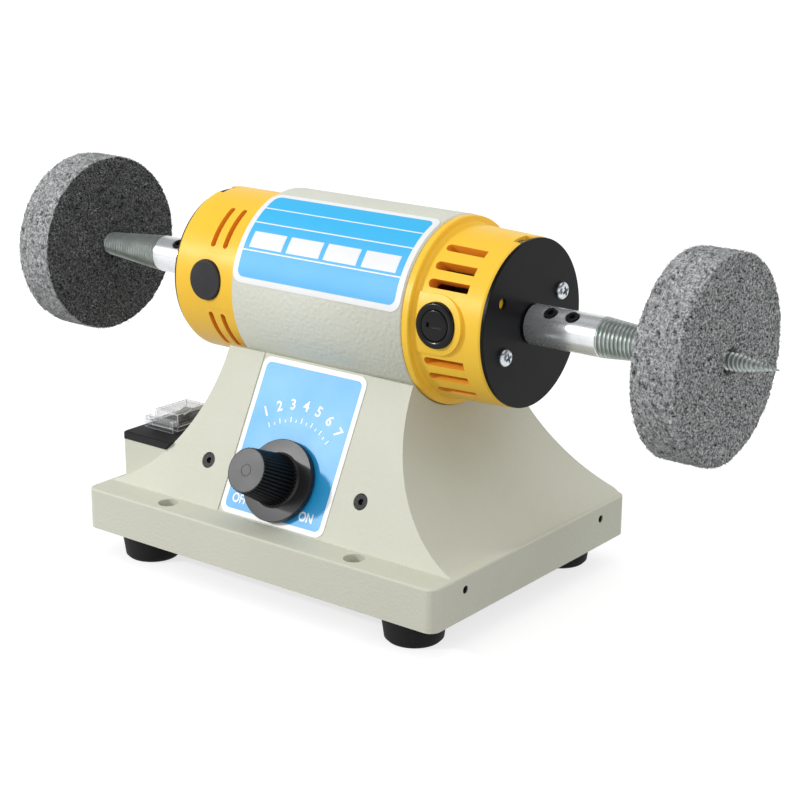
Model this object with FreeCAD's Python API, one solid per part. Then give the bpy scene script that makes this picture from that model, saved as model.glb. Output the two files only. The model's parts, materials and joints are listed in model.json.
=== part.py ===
import FreeCAD, Part
import math
import os

# Bench polishing lathe, double ended: cast base, universal motor, two tapered screw spindles.
# Millimetres, +Z up. X runs along the motor shaft, -Y is the front with the speed knob.
# The origin is the centre of the base plate at the level of the bench.

V = FreeCAD.Vector
X_AXIS = V(1, 0, 0)
Y_AXIS = V(0, 1, 0)
Z_AXIS = V(0, 0, 1)

# Rubber feet and their screws
FOOT_H = 12.5
FOOT_TOP_R = 13.3
FOOT_BOTTOM_R = 11.7
FOOT_EDGE = 1.2
FOOT_INSET_X = 21.6
FOOT_INSET_Y = 17.1
FOOT_RECESS_R = 6.4
FOOT_RECESS_H = 6.0
FOOT_SCREW_R = 2.5
FOOT_SCREW_L = 17.0
FOOT_HEAD_R = 4.8
FOOT_HEAD_H = 3.4
SCREW_GAP = 0.1

# Base plate of the casting
BASE_W = 183.4
BASE_D = 136.6
BASE_H = 17.5
BASE_CORNER_R = 4.5
BASE_EDGE = 0.8
BASE_WALL = 6.0
BASE_ROOF = 5.0
REBATE_W = 2.0
FOOT_BOSS_R = 7.0
FOOT_RIB_T = 4.0
LEDGE_HOLE_R = 4.25
LEDGE_HOLE_PITCH = 99.0
LEDGE_HOLE_X = -1.6
LEDGE_HOLE_INSET = 7.7
LEDGE_BOSS_R = 8.0
SIDE_HOLE_R = 1.65
SIDE_HOLE_PITCH = 96.0
SIDE_HOLE_H = 11.8

# Bottom cover
COVER_T = 1.5
COVER_GAP = 0.3
VENT_COUNT = 6
VENT_W = 3.0
VENT_L = 40.0
VENT_PITCH = 9.0

# Pedestal of the casting
PED_X = -1.0
PED_SLOPE = 27.0
PED_FOOT_HALF = 61.5
PED_INSET = 1.0
FLANK_X = -0.2
FLANK_TOP_HALF = 48.2
FLANK_FOOT_HALF = 90.2
PED_SIDE_DROP = 25.5
PED_TOP_DROP = 24.6
PED_WALL = 5.0
SADDLE_FLOOR = 6.0
SADDLE_GAP = 0.12

# Motor axis and body tube
AXIS_Y = 6.8
AXIS_Z = 115.0
MOTOR_CLOCK = 4.6
TUBE_R = 38.3
TUBE_WALL = 3.1
TUBE_LEFT = -40.3
TUBE_RIGHT = 47.0
TUBE_EDGE = 0.5
MOUNT_SCREW_XS = (-24.0, 30.0)
MOUNT_SCREW_R = 2.4
MOUNT_HEAD_R = 4.4
MOUNT_HEAD_H = 4.0

# End bells
BELL_WALL = 2.7
BELL_SPIGOT_L = 6.0
SPIGOT_GAP = 0.05
END_WALL = 3.0
LEFT_BELL_R = 34.9
LEFT_BELL_END = -75.3
RIGHT_BELL_R = 34.9
RIGHT_BELL_END_R = 33.7
RIGHT_BELL_END = 80.97
RIM_R = 38.0
RIM_W = 3.3
RIM_EDGE = 0.4
RIM_ROOT = 0.8
RIM_GAP = 0.2
BELL_EDGE = 0.8
HUB_R = 14.5
SHAFT_WINDOW_R = 9.0
NOTCH_W = 9.0
NOTCH_L = 3.4
NOTCH_DEPTH = 4.0

# Cooling slots, as angles from the brush line
RIGHT_SLOT_ANGLES = (26.0, 38.5, 53.4)
RIGHT_SLOT_W = 3.6
RIGHT_SLOT_START = 54.4
RIGHT_SLOT_END = 72.6
LEFT_SLOT_XS = (-57.1, -50.4)
LEFT_SLOT_W = 2.6
LEFT_SLOT_FROM = 25.3
LEFT_SLOT_TO = 54.0
SLOT_LINER_T = 2.6
SLOT_LINER_MARGIN = 1.5
SLOT_LINER_SPREAD = 5.0

# Brush gear in the right bell, plugs in the left bell
BRUSH_X = 61.6
PAD_HALF = 11.75
PAD_R = 35.4
COLLAR_R = 9.0
COLLAR_PROUD = 0.9
COLLAR_T = 2.4
HOLDER_R = 7.2
HOLDER_BORE_R = 4.2
HOLDER_END = 14.0
HOLDER_GAP = 0.1
CAP_R = 6.1
CAP_T = 2.0
CAP_GAP = 0.15
CAP_STEM_R = 4.05
CAP_STEM_L = 3.8
CAP_SLOT_L = 7.2
CAP_SLOT_W = 1.8
CAP_SLOT_D = 0.8
BRUSH_W = 5.6
BRUSH_L = 13.0
BRUSH_GAP = 0.08
SPRING_WIRE_R = 0.35
SPRING_R = 3.2
SPRING_SEAT_GAP = 0.1
PLUG_X = -57.5
PLUG_R = 8.45
PLUG_PROUD = 0.7
PLUG_RECESS = 1.5
PLUG_SPIGOT_R = 6.8
PLUG_GAP = 0.25
PLUG_DEPTH = 3.2
PLUG_PAD_R = 35.3

# End plates and their screws
PLATE_T = 1.5
LEFT_PLATE_R = 33.7
RIGHT_PLATE_R = 33.4
PLATE_BORE_R = 6.5
PLATE_HOLE_R = 2.2
PLATE_HOLE_PCR = 23.9
PLATE_HOLE_ANGLE = 29.4
PLATE_SCREW_PCR = 21.5
PLATE_SCREW_ANGLE = -26.3
PLATE_SCREW_R = 1.9
PLATE_SCREW_L = 7.0
PLATE_HEAD_R = 3.65
PLATE_HEAD_H = 2.4

# Through bolts
BOLT_PCR = 28.8
BOLT_ANGLE = 80.0
BOLT_R = 2.0
BOLT_GAP = 0.15
BOLT_HEAD_R = 3.7
BOLT_HEAD_H = 3.4
BOLT_BOSS_R = 5.4
BOLT_BOSS_L = 8.0
BOLT_POCKET_D = 3.8
BOLT_POCKET_GAP = 0.4

# Shaft, bearings and spindles
SHAFT_R = 4.0
SHAFT_CORE_R = 6.0
SHAFT_CORE_HALF = 44.0
SHAFT_HALF = 109.0
BEARING_R = 11.0
BEARING_W = 7.0
BEARING_LIP = 1.2
RACE_INNER_R = 6.4
RACE_OUTER_R = 8.6
BALL_PITCH_R = 7.5
BALL_R = 1.98
BALL_GAP = 0.05
BALL_COUNT = 7
SLEEVE_R = 8.0
SLEEVE_START = 83.1
SLEEVE_EDGE = 0.6
SPINDLE_BORE_GAP = 0.02
SPINDLE_BORE_EXTRA = 1.0
THREAD_START = 115.4
THREAD_KNEE = 173.4
THREAD_KNEE_R = 3.0
SPINDLE_TIP = 187.3
SPINDLE_TIP_R = 0.25
THREAD_PITCH = 1.7
THREAD_DEPTH = 0.55
SET_SCREW_XS = (93.1, 103.0)
SET_SCREW_ANGLE = 58.0
SET_SCREW_R = 2.5
SET_SCREW_PROUD = 0.3
SET_SOCKET_R = 1.35
SET_SOCKET_D = 2.0

# Polishing wheels
WHEEL_R = 40.2
WHEEL_T = 20.3
WHEEL_BORE_R = 5.2
WHEEL_WEDGE_GAP = 0.05
WHEEL_EDGE = 1.4

# Armature, fan, commutator and stator
CORE_LEFT = -22.0
CORE_RIGHT = 20.0
ARMATURE_R = 21.7
AIR_GAP = 0.6
ARMATURE_SLOTS = 12
ARMATURE_SLOT_W = 2.4
ARMATURE_SLOT_D = 8.0
WINDING_R = 19.5
WINDING_L = 12.0
WINDING_EDGE = 3.0
COMMUTATOR_R = 11.0
COMMUTATOR_HALF = 7.6
COMMUTATOR_SLOTS = 24
COMMUTATOR_SLOT_W = 0.5
COMMUTATOR_SLOT_D = 0.9
FAN_X = -58.0
FAN_L = 11.0
FAN_R = 25.0
FAN_HUB_R = 8.0
FAN_PLATE_T = 1.6
FAN_BLADES = 9
FAN_BLADE_T = 1.4
FIT_GAP = 0.02
STATOR_GAP = 0.1
COIL_IN_R = 23.7
COIL_OUT_R = 26.4
COIL_MID_ANGLE = 45.0
COIL_HALF_ANGLE = 13.0
COIL_GAP = 0.3
COIL_GAP_ANGLE = 1.5
COIL_END_L = 7.0

# Front panel, given along the slope: U across, W up the slope from the base plate
PANEL_RECESS_D = 0.4
LABEL_U = 54.5
LABEL_V = 66.6
LABEL_START = 0.5
LABEL_MARGIN = 0.7
LABEL_T = 0.35
LABEL_CORNER_R = 4.0
KNOB_V = 18.3
KNOB_LIFT = 0.5
SKIRT_R = 17.0
SKIRT_T = 2.8
SKIRT_EDGE = 0.5
SKIRT_RISE = 1.0
GRIP_BASE_R = 10.8
GRIP_TOP_R = 9.25
GRIP_TOP = 23.6
FLUTES = 40
FLUTE_DEPTH = 0.55
KNOB_HOLLOW_R = 7.6
KNOB_HOLLOW_D = 3.6
POT_SHAFT_R = 3.0
POT_SHAFT_GAP = 0.03
POT_SHAFT_TOP = 17.0
POT_BUSH_R = 3.5
POT_BUSH_TOP = 3.2
POT_BODY_R = 8.4
POT_BODY_L = 8.0
POT_NUT_R = 5.4
POT_NUT_T = 1.8
FRONT_SCREW_U = 40.4
FRONT_SCREW_V = 19.0
FRONT_HOLE_R = 3.4
FRONT_HOLE_D = 2.4
FRONT_HEAD_R = 3.15
FRONT_HEAD_H = 2.0
FRONT_SHANK_R = 1.9
FRONT_SOCKET_R = 1.3
STANDOFF_R = 3.6
STANDOFF_L = 12.0
BOARD_U = 92.0
BOARD_V = 34.0
BOARD_T = 1.6
BOARD_HOLE_GAP = 0.2
BOARD_SCREW_R = 1.5
BOARD_HEAD_R = 2.8
BOARD_HEAD_H = 1.8
CAPACITOR_U = -24.0
CAPACITOR_R = 6.5
CAPACITOR_L = 13.0
HEATSINK_U = 20.0
HEATSINK_W = 20.0
HEATSINK_V = 16.0
HEATSINK_BASE = 2.0
HEATSINK_H = 12.0
HEATSINK_FINS = 5
HEATSINK_FIN_T = 1.2

# Body label on the tube
BODY_LABEL_LEFT = -39.9
BODY_LABEL_RIGHT = 46.3
BODY_LABEL_FROM = 8.5
BODY_LABEL_TO = 76.0
BODY_LABEL_T = 0.25

# Switch pocket on the left of the pedestal
POCKET_INSET = 1.7
POCKET_FRONT = -46.7
POCKET_BACK = 5.5
POCKET_H = 16.5
POCKET_WALL = 3.2
POCKET_BACK_WALL = 6.0
POCKET_W = 22.5
PLATE_H = 3.6
PLATE_OVERHANG = 0.2
PLATE_BEVEL = 0.6
PLATE_WALL_GAP = 0.2
SW_INSET = 11.2
SW_Y = -22.8
SW_FLANGE_X = 15.0
SW_FLANGE_Y = 21.0
SW_FLANGE_T = 1.5
SW_BODY_X = 12.8
SW_BODY_Y = 19.4
SW_BODY_D = 13.0
SW_FIT = 0.15
ROCKER_X = 11.0
ROCKER_END_R = 8.7
ROCKER_SIDE_GAP = 0.3
ROCKER_PIVOT_H = 0.2
ROCKER_TOP = 2.9
ROCKER_DIP = 1.0
ROCKER_BOTTOM = 3.0
ROCKER_TILT = 11.0
ROCKER_PIN_R = 1.0
ROCKER_PIN_L = 0.7
PIN_GAP = 0.05
ROCKER_LENGTH_GAP = 0.3
ROCKER_WELL_D = 6.0
TERMINAL_T = 0.8
TERMINAL_W = 4.8
TERMINAL_L = 6.0
TERMINAL_PITCH = 7.0
FRAME_X = 17.0
FRAME_FRONT = -37.3
FRAME_BACK = -11.3
FRAME_T = 2.2
FRAME_WINDOW_GAP = 0.25
HINGE_Y = -35.4
HINGE_H = 3.6
LUG_HALF = 1.8
LUG_TOP = 1.2
LUG_W = 1.9
HINGE_PIN_R = 0.7
HINGE_BAR_R = 1.1
FLAP_X = 14.6
FLAP_FRONT = -33.0
FLAP_BACK = -12.4
FLAP_FRONT_H = 7.5
FLAP_BACK_H = 7.2
FLAP_WALL = 0.9
FLAP_LIFT = 0.2
FLAP_EDGE = 0.7
HINGE_SIDE_GAP = 0.25
HINGE_WEB_T = 1.2
SMALL_SCREW_INSETS = (6.0, 19.5)
SMALL_SCREW_R = 1.4
SMALL_HEAD_R = 2.7
SMALL_HEAD_H = 1.6
SMALL_SCREW_L = 8.0

# Lead inlet in the back wall of the base
INLET_X = 45.0
INLET_H = 8.0
INLET_R = 4.6
INLET_FLANGE_R = 7.2
INLET_PROUD = 3.2
INLET_BORE_R = 3.3
INLET_GAP = 0.05

# Values that follow from the ones above
BASE_TOP = FOOT_H + BASE_H
ROOF_Z = BASE_TOP - BASE_ROOF
FOOT_X = BASE_W / 2 - FOOT_INSET_X
FOOT_Y = BASE_D / 2 - FOOT_INSET_Y
TUBE_IN_R = TUBE_R - TUBE_WALL
SADDLE_R = TUBE_R + SADDLE_GAP
CEILING_Z = AXIS_Z - SADDLE_R - SADDLE_FLOOR
PED_FRONT = AXIS_Y - PED_FOOT_HALF
SIDE_ARC_Z = AXIS_Z - PED_SIDE_DROP
SIDE_ARC_H = SIDE_ARC_Z - BASE_TOP
FLANK_SPREAD = FLANK_FOOT_HALF - FLANK_TOP_HALF
SIDE_ARC_R = (FLANK_SPREAD ** 2 + SIDE_ARC_H ** 2) / (2 * FLANK_SPREAD)
SIDE_ARC_U = FLANK_TOP_HALF + SIDE_ARC_R
POCKET_LEFT = POCKET_INSET - BASE_W / 2
POCKET_TOP = BASE_TOP + POCKET_H
PLATE_TOP = POCKET_TOP + PLATE_H
THREAD_SLOPE = (SLEEVE_R - THREAD_KNEE_R) / (THREAD_KNEE - THREAD_START)
WHEEL_IN_X = THREAD_START + (SLEEVE_R - WHEEL_BORE_R + WHEEL_WEDGE_GAP) / THREAD_SLOPE
BELL_IN_R = LEFT_BELL_R - BELL_WALL
RIGHT_IN_R = RIGHT_BELL_END_R - BELL_WALL
RIM_START = TUBE_RIGHT + RIM_GAP
LEFT_SEAT = LEFT_BELL_END + END_WALL
RIGHT_SEAT = RIGHT_BELL_END - END_WALL - BEARING_W
POCKET_SCREW_Y = POCKET_BACK - POCKET_BACK_WALL / 2
SW_X = POCKET_LEFT + SW_INSET
SMALL_SCREW_XS = [POCKET_LEFT + inset for inset in SMALL_SCREW_INSETS]
HINGE_Z = PLATE_TOP + HINGE_H
PIVOT_Z = PLATE_TOP + ROCKER_PIVOT_H
BRUSH_TOP = PAD_R + COLLAR_PROUD
BIG = 400.0


def box(x0, x1, y0, y1, z0, z1):
    return Part.makeBox(x1 - x0, y1 - y0, z1 - z0, V(x0, y0, z0))


def rod(x, y, z, r, length, direction=Z_AXIS):
    return Part.makeCylinder(r, length, V(x, y, z), direction)


def fuse(shapes):
    joined = shapes[0]
    for other in shapes[1:]:
        joined = joined.fuse(other)
    return joined.removeSplitter()


def cut(shape, tools):
    for tool in tools:
        shape = shape.cut(tool)
    return shape


def prism(points, vector):
    wire = Part.makePolygon([V(*p) for p in points + points[:1]])
    return Part.Face(wire).extrude(vector)


def rounded_plate(x_size, y_size, z0, thickness, corner_r):
    plate = box(-x_size / 2, x_size / 2, -y_size / 2, y_size / 2, z0, z0 + thickness)
    upright = [e for e in plate.Edges if abs(e.Vertexes[0].Z - e.Vertexes[-1].Z) > thickness / 2]
    return plate.makeFillet(corner_r, upright)


def on_axis(shape):
    """Move a shape that was built round the world X axis onto the motor axis."""
    moved = shape.copy()
    moved.translate(V(0, AXIS_Y, AXIS_Z))
    return moved


def turned(points):
    """Revolve (x, r) points about the motor axis."""
    wire = Part.makePolygon([V(x, 0, r) for x, r in points + points[:1]])
    return on_axis(Part.Face(wire).revolve(V(0, 0, 0), X_AXIS, 360))


def disc(x0, x1, r):
    return on_axis(Part.makeCylinder(r, x1 - x0, V(x0, 0, 0), X_AXIS))


def tube(x0, x1, r_in, r_out):
    return disc(x0, x1, r_out).cut(disc(x0 - 1, x1 + 1, r_in))


def axis_point(x, r, angle):
    """Point at radius r and at an angle above the level of the axis, on the front side."""
    a = math.radians(angle)
    return V(x, AXIS_Y - r * math.cos(a), AXIS_Z + r * math.sin(a))


def along_x(x0, x1, r, pitch_r, angle):
    return Part.makeCylinder(r, x1 - x0, axis_point(x0, pitch_r, angle), X_AXIS)


def radial(shape, x, angle):
    """Place a shape built on +Z so that +Z points straight out of the motor at that angle."""
    placed = shape.copy()
    turn = FreeCAD.Rotation(X_AXIS, 90 - angle)
    placed.Placement = FreeCAD.Placement(V(x, AXIS_Y, AXIS_Z), turn).multiply(placed.Placement)
    return placed


def both_sides(make):
    """The same shape at the front and at the rear of the brush line."""
    return [make(MOTOR_CLOCK), make(MOTOR_CLOCK + 180)]


def on_panel(shape):
    """Panel frame: X across, Y up the slope from the base plate, Z straight out of the panel."""
    placed = shape.copy()
    turn = FreeCAD.Rotation(X_AXIS, 90 - PED_SLOPE)
    place = FreeCAD.Placement(V(PED_X, PED_FRONT, BASE_TOP), turn)
    placed.Placement = place.multiply(placed.Placement)
    return placed


def mirror_x(shape):
    return shape.mirror(V(0, 0, 0), X_AXIS)


def hex_prism(x, y, z, r, length):
    points = []
    for i in range(6):
        a = math.radians(60 * i)
        points.append((x + r * math.cos(a), y + r * math.sin(a), z))
    return prism(points, V(0, 0, length))


def corners(x, y):
    return [(sx * x, sy * y) for sx in (-1, 1) for sy in (-1, 1)]


def side_profile(offset, low_z, high_z):
    """Front view of the pedestal, set in by offset: two concave arcs and a level top."""
    r = SIDE_ARC_R + offset
    left = []
    for z in (low_z, (low_z + SIDE_ARC_Z) / 2, SIDE_ARC_Z):
        left.append((FLANK_X - SIDE_ARC_U + math.sqrt(r * r - (SIDE_ARC_Z - z) ** 2), z))
    right = [(2 * FLANK_X - u, z) for u, z in left]
    edges = [Part.Arc(*[V(u, 0, z) for u, z in left]).toShape()]
    edges.append(Part.makeLine(V(left[2][0], 0, SIDE_ARC_Z), V(left[2][0], 0, high_z)))
    edges.append(Part.makeLine(V(left[2][0], 0, high_z), V(right[2][0], 0, high_z)))
    edges.append(Part.makeLine(V(right[2][0], 0, high_z), V(right[2][0], 0, SIDE_ARC_Z)))
    edges.append(Part.Arc(*[V(u, 0, z) for u, z in reversed(right)]).toShape())
    edges.append(Part.makeLine(V(right[0][0], 0, low_z), V(left[0][0], 0, low_z)))
    face = Part.Face(Part.Wire(edges))
    face.translate(V(0, -BIG / 2, 0))
    return face.extrude(V(0, BIG, 0))


def slope_prism(offset, low_z, high_z):
    """Side view of the pedestal, set in by offset: front and back lean in alike."""
    lean = math.tan(math.radians(PED_SLOPE))
    inset = offset / math.cos(math.radians(PED_SLOPE))
    low = PED_FOOT_HALF - inset - (low_z - BASE_TOP) * lean
    high = PED_FOOT_HALF - inset - (high_z - BASE_TOP) * lean
    points = [
        (-BIG / 2, AXIS_Y - low, low_z),
        (-BIG / 2, AXIS_Y + low, low_z),
        (-BIG / 2, AXIS_Y + high, high_z),
        (-BIG / 2, AXIS_Y - high, high_z),
    ]
    return prism(points, V(BIG, 0, 0))


def footprint(inset):
    return rounded_plate(BASE_W - 2 * inset, BASE_D - 2 * inset, 0, BIG / 2, BASE_CORNER_R)


def pedestal_block():
    low = BASE_TOP - BASE_EDGE
    top = AXIS_Z - PED_TOP_DROP
    side = side_profile(0, low, top + 5)
    return side.common(slope_prism(0, low, top)).common(footprint(PED_INSET))


def pedestal_hollow():
    side = side_profile(PED_WALL, ROOF_Z - 1, SIDE_ARC_Z + 1)
    return side.common(slope_prism(PED_WALL, ROOF_Z - 1, CEILING_Z)).common(footprint(BASE_WALL))


def base_plate():
    plate = rounded_plate(BASE_W, BASE_D, FOOT_H, BASE_H, BASE_CORNER_R)
    rim = [e for e in plate.Edges if all(abs(p.Z - BASE_TOP) < 0.01 for p in e.Vertexes)]
    return plate.makeFillet(BASE_EDGE, rim)


def base_hollow():
    half_x = BASE_W / 2 - BASE_WALL
    half_y = BASE_D / 2 - BASE_WALL
    hollow = box(-half_x, half_x, -half_y, half_y, FOOT_H - 1, ROOF_Z)
    wide_x = half_x + REBATE_W
    wide_y = half_y + REBATE_W
    rebate = box(-wide_x, wide_x, -wide_y, wide_y, FOOT_H - 1, FOOT_H + COVER_T)
    bosses = []
    for x, y in corners(FOOT_X, FOOT_Y):
        bosses.append(rod(x, y, FOOT_H + COVER_T, FOOT_BOSS_R, BASE_H))
        half = FOOT_RIB_T / 2
        wall_x = math.copysign(half_x + 1, x)
        bosses.append(box(min(x, wall_x), max(x, wall_x), y - half, y + half, FOOT_H + COVER_T, BASE_TOP))
    for x, y in ledge_holes():
        bosses.append(rod(x, y, FOOT_H, LEDGE_BOSS_R, BASE_H))
    return cut(hollow.fuse(rebate), bosses)


def ledge_holes():
    y = LEDGE_HOLE_INSET - BASE_D / 2
    return [(LEDGE_HOLE_X + s * LEDGE_HOLE_PITCH / 2, y) for s in (-1, 1)]


def pocket_block():
    """The part of the switch pocket that stands out of the pedestal's left flank."""
    block = box(POCKET_LEFT, FLANK_X, POCKET_FRONT, POCKET_BACK, BASE_TOP - BASE_EDGE, POCKET_TOP)
    return block.cut(side_profile(0.5, BASE_TOP - 2, SIDE_ARC_Z + 5))


def pocket_hollow():
    x0 = POCKET_LEFT + POCKET_WALL
    y0 = POCKET_FRONT + POCKET_WALL
    y1 = POCKET_BACK - POCKET_BACK_WALL
    return box(x0, POCKET_LEFT + POCKET_W, y0, y1, ROOF_Z - 1, POCKET_TOP + 1)


def front_wall_cuts():
    recess_half = LABEL_U / 2 + LABEL_MARGIN
    start = PANEL_RECESS_D * math.tan(math.radians(PED_SLOPE))
    cuts = [box(-recess_half, recess_half, start, BIG / 2, -PANEL_RECESS_D, 5)]
    cuts.append(rod(0, KNOB_V, -2 * PED_WALL, POT_BUSH_R + SCREW_GAP, 3 * PED_WALL))
    for side in (-1, 1):
        u = side * FRONT_SCREW_U
        cuts.append(rod(u, FRONT_SCREW_V, -FRONT_HOLE_D, FRONT_HOLE_R, 10))
        cuts.append(rod(u, FRONT_SCREW_V, -2 * PED_WALL, FRONT_SHANK_R + SCREW_GAP, 20))
    return [on_panel(c) for c in cuts]


def base_screw_cuts():
    cuts = []
    for x, y in corners(FOOT_X, FOOT_Y):
        depth = FOOT_RECESS_H + FOOT_SCREW_L + 0.5
        cuts.append(rod(x, y, 0, FOOT_SCREW_R + SCREW_GAP, depth))
    for x, y in ledge_holes():
        cuts.append(rod(x, y, FOOT_H - 1, LEDGE_HOLE_R, BASE_H + 2))
    for y in (-SIDE_HOLE_PITCH / 2, SIDE_HOLE_PITCH / 2):
        z = FOOT_H + SIDE_HOLE_H
        cuts.append(rod(-BASE_W / 2 - 1, y, z, SIDE_HOLE_R, BASE_WALL + 2, X_AXIS))
        cuts.append(rod(BASE_W / 2 - BASE_WALL - 1, y, z, SIDE_HOLE_R, BASE_WALL + 2, X_AXIS))
    for x in MOUNT_SCREW_XS:
        cuts.append(rod(x, AXIS_Y, CEILING_Z - 1, MOUNT_SCREW_R + SCREW_GAP, 2 * SADDLE_FLOOR))
    for x in SMALL_SCREW_XS:
        low = POCKET_TOP - SMALL_SCREW_L
        cuts.append(rod(x, POCKET_SCREW_Y, low, SMALL_SCREW_R + SCREW_GAP, 2 * SMALL_SCREW_L))
    y = BASE_D / 2 - BASE_WALL - 1
    cuts.append(rod(INLET_X, y, FOOT_H + INLET_H, INLET_R, BASE_WALL + 2, Y_AXIS))
    return cuts


def base_casting():
    body = fuse([base_plate(), pedestal_block(), pocket_block()])
    body = cut(body, [base_hollow(), pedestal_hollow(), pocket_hollow()])
    body = body.cut(disc(-BIG / 2, BIG / 2, SADDLE_R))
    body = cut(body, front_wall_cuts())
    return cut(body, base_screw_cuts()).removeSplitter()


def bottom_cover():
    half_x = BASE_W / 2 - BASE_WALL + REBATE_W - COVER_GAP
    half_y = BASE_D / 2 - BASE_WALL + REBATE_W - COVER_GAP
    plate = box(-half_x, half_x, -half_y, half_y, FOOT_H, FOOT_H + COVER_T)
    cuts = []
    for x, y in corners(FOOT_X, FOOT_Y):
        cuts.append(rod(x, y, FOOT_H - 1, FOOT_SCREW_R + SCREW_GAP, 4))
    for x, y in ledge_holes():
        cuts.append(rod(x, y, FOOT_H - 1, LEDGE_BOSS_R + COVER_GAP, 4))
    for i in range(VENT_COUNT):
        y = (i - (VENT_COUNT - 1) / 2) * VENT_PITCH
        cuts.append(box(-VENT_L / 2, VENT_L / 2, y - VENT_W / 2, y + VENT_W / 2, FOOT_H - 1, FOOT_H + 3))
    return cut(plate, cuts)


def rubber_feet():
    profile = [
        (0, 0),
        (FOOT_BOTTOM_R - FOOT_EDGE, 0),
        (FOOT_BOTTOM_R, FOOT_EDGE),
        (FOOT_TOP_R, FOOT_H),
        (0, FOOT_H),
    ]
    face = Part.Face(Part.makePolygon([V(r, 0, z) for r, z in profile + profile[:1]]))
    foot = face.revolve(V(0, 0, 0), Z_AXIS, 360)
    foot = foot.cut(rod(0, 0, -1, FOOT_RECESS_R, FOOT_RECESS_H + 1))
    foot = foot.cut(rod(0, 0, -1, FOOT_SCREW_R + SCREW_GAP, FOOT_H + 2))
    feet = []
    for x, y in corners(FOOT_X, FOOT_Y):
        one = foot.copy()
        one.translate(V(x, y, 0))
        feet.append(one)
    return Part.Compound(feet)


def screw(shank_r, shank_l, head_r, head_h, socket_r=0.0, cross=False):
    """A screw along +Z with its shank below z = 0 and its head above."""
    body = rod(0, 0, -shank_l, shank_r, shank_l).fuse(rod(0, 0, 0, head_r, head_h))
    if cross:
        w = head_r * 0.2
        arm = head_r * 0.6
        body = body.cut(box(-arm, arm, -w, w, head_h * 0.45, head_h + 1))
        body = body.cut(box(-w, w, -arm, arm, head_h * 0.45, head_h + 1))
    if socket_r:
        body = body.cut(hex_prism(0, 0, head_h * 0.3, socket_r, head_h))
    return body


def aimed(shape, position, direction):
    placed = shape.copy()
    placed.Placement = FreeCAD.Placement(position, FreeCAD.Rotation(Z_AXIS, direction))
    return placed


def foot_screws():
    one = screw(FOOT_SCREW_R, FOOT_SCREW_L, FOOT_HEAD_R, FOOT_HEAD_H, 0, True)
    down = V(0, 0, -1)
    return Part.Compound([aimed(one, V(x, y, FOOT_RECESS_H), down) for x, y in corners(FOOT_X, FOOT_Y)])


def motor_body():
    profile = [
        (TUBE_LEFT, TUBE_IN_R),
        (TUBE_LEFT, TUBE_R - TUBE_EDGE),
        (TUBE_LEFT + TUBE_EDGE, TUBE_R),
        (TUBE_RIGHT - TUBE_EDGE, TUBE_R),
        (TUBE_RIGHT, TUBE_R - TUBE_EDGE),
        (TUBE_RIGHT, TUBE_IN_R),
    ]
    low = AXIS_Z - TUBE_R - 1
    holes = [rod(x, AXIS_Y, low, MOUNT_SCREW_R + SCREW_GAP, TUBE_WALL + 2) for x in MOUNT_SCREW_XS]
    return cut(turned(profile), holes)


def motor_mount_screws():
    reach = AXIS_Z - TUBE_IN_R - SCREW_GAP - CEILING_Z - 0.5
    one = screw(MOUNT_SCREW_R, reach, MOUNT_HEAD_R, MOUNT_HEAD_H, MOUNT_SCREW_R)
    down = V(0, 0, -1)
    return Part.Compound([aimed(one, V(x, AXIS_Y, CEILING_Z), down) for x in MOUNT_SCREW_XS])


def d_pad(x_flat, x_round, pad_r, r_in):
    """A raised pad on a bell round the brush line, flat at one end and round at the other."""
    flat = box(min(x_flat, x_round), max(x_flat, x_round), -PAD_HALF, PAD_HALF, r_in, BIG / 8)
    pad = flat.fuse(rod(x_round, 0, r_in, PAD_HALF, BIG / 8 - r_in))
    shell = tube(x_flat - 60, x_flat + 60, r_in, pad_r)
    return [radial(pad, 0, a).common(shell) for a in (MOTOR_CLOCK, MOTOR_CLOCK + 180)]


def bell_hub(end_x, inward):
    """Bearing seat on the inside of a bell's end wall; inward is +1 or -1 along X."""
    floor = end_x + inward * END_WALL
    mouth = floor + inward * (BEARING_W + BEARING_LIP)
    return disc(min(floor, mouth), max(floor, mouth), HUB_R)


def bell_seat(end_x, inward):
    floor = end_x + inward * END_WALL
    mouth = floor + inward * (BEARING_W + BEARING_LIP + 1)
    return disc(min(floor, mouth), max(floor, mouth), BEARING_R + FIT_GAP)


def bolt_bosses(end_x, inward, limit_r):
    floor = end_x + inward * (END_WALL - 1)
    far = end_x + inward * (END_WALL + BOLT_BOSS_L)
    low, high = min(floor, far), max(floor, far)
    bosses = []
    for a in (BOLT_ANGLE, BOLT_ANGLE + 180):
        boss = along_x(low, high, BOLT_BOSS_R, BOLT_PCR, MOTOR_CLOCK + a)
        bosses.append(boss.common(disc(low, high, limit_r)))
    return bosses


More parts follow.
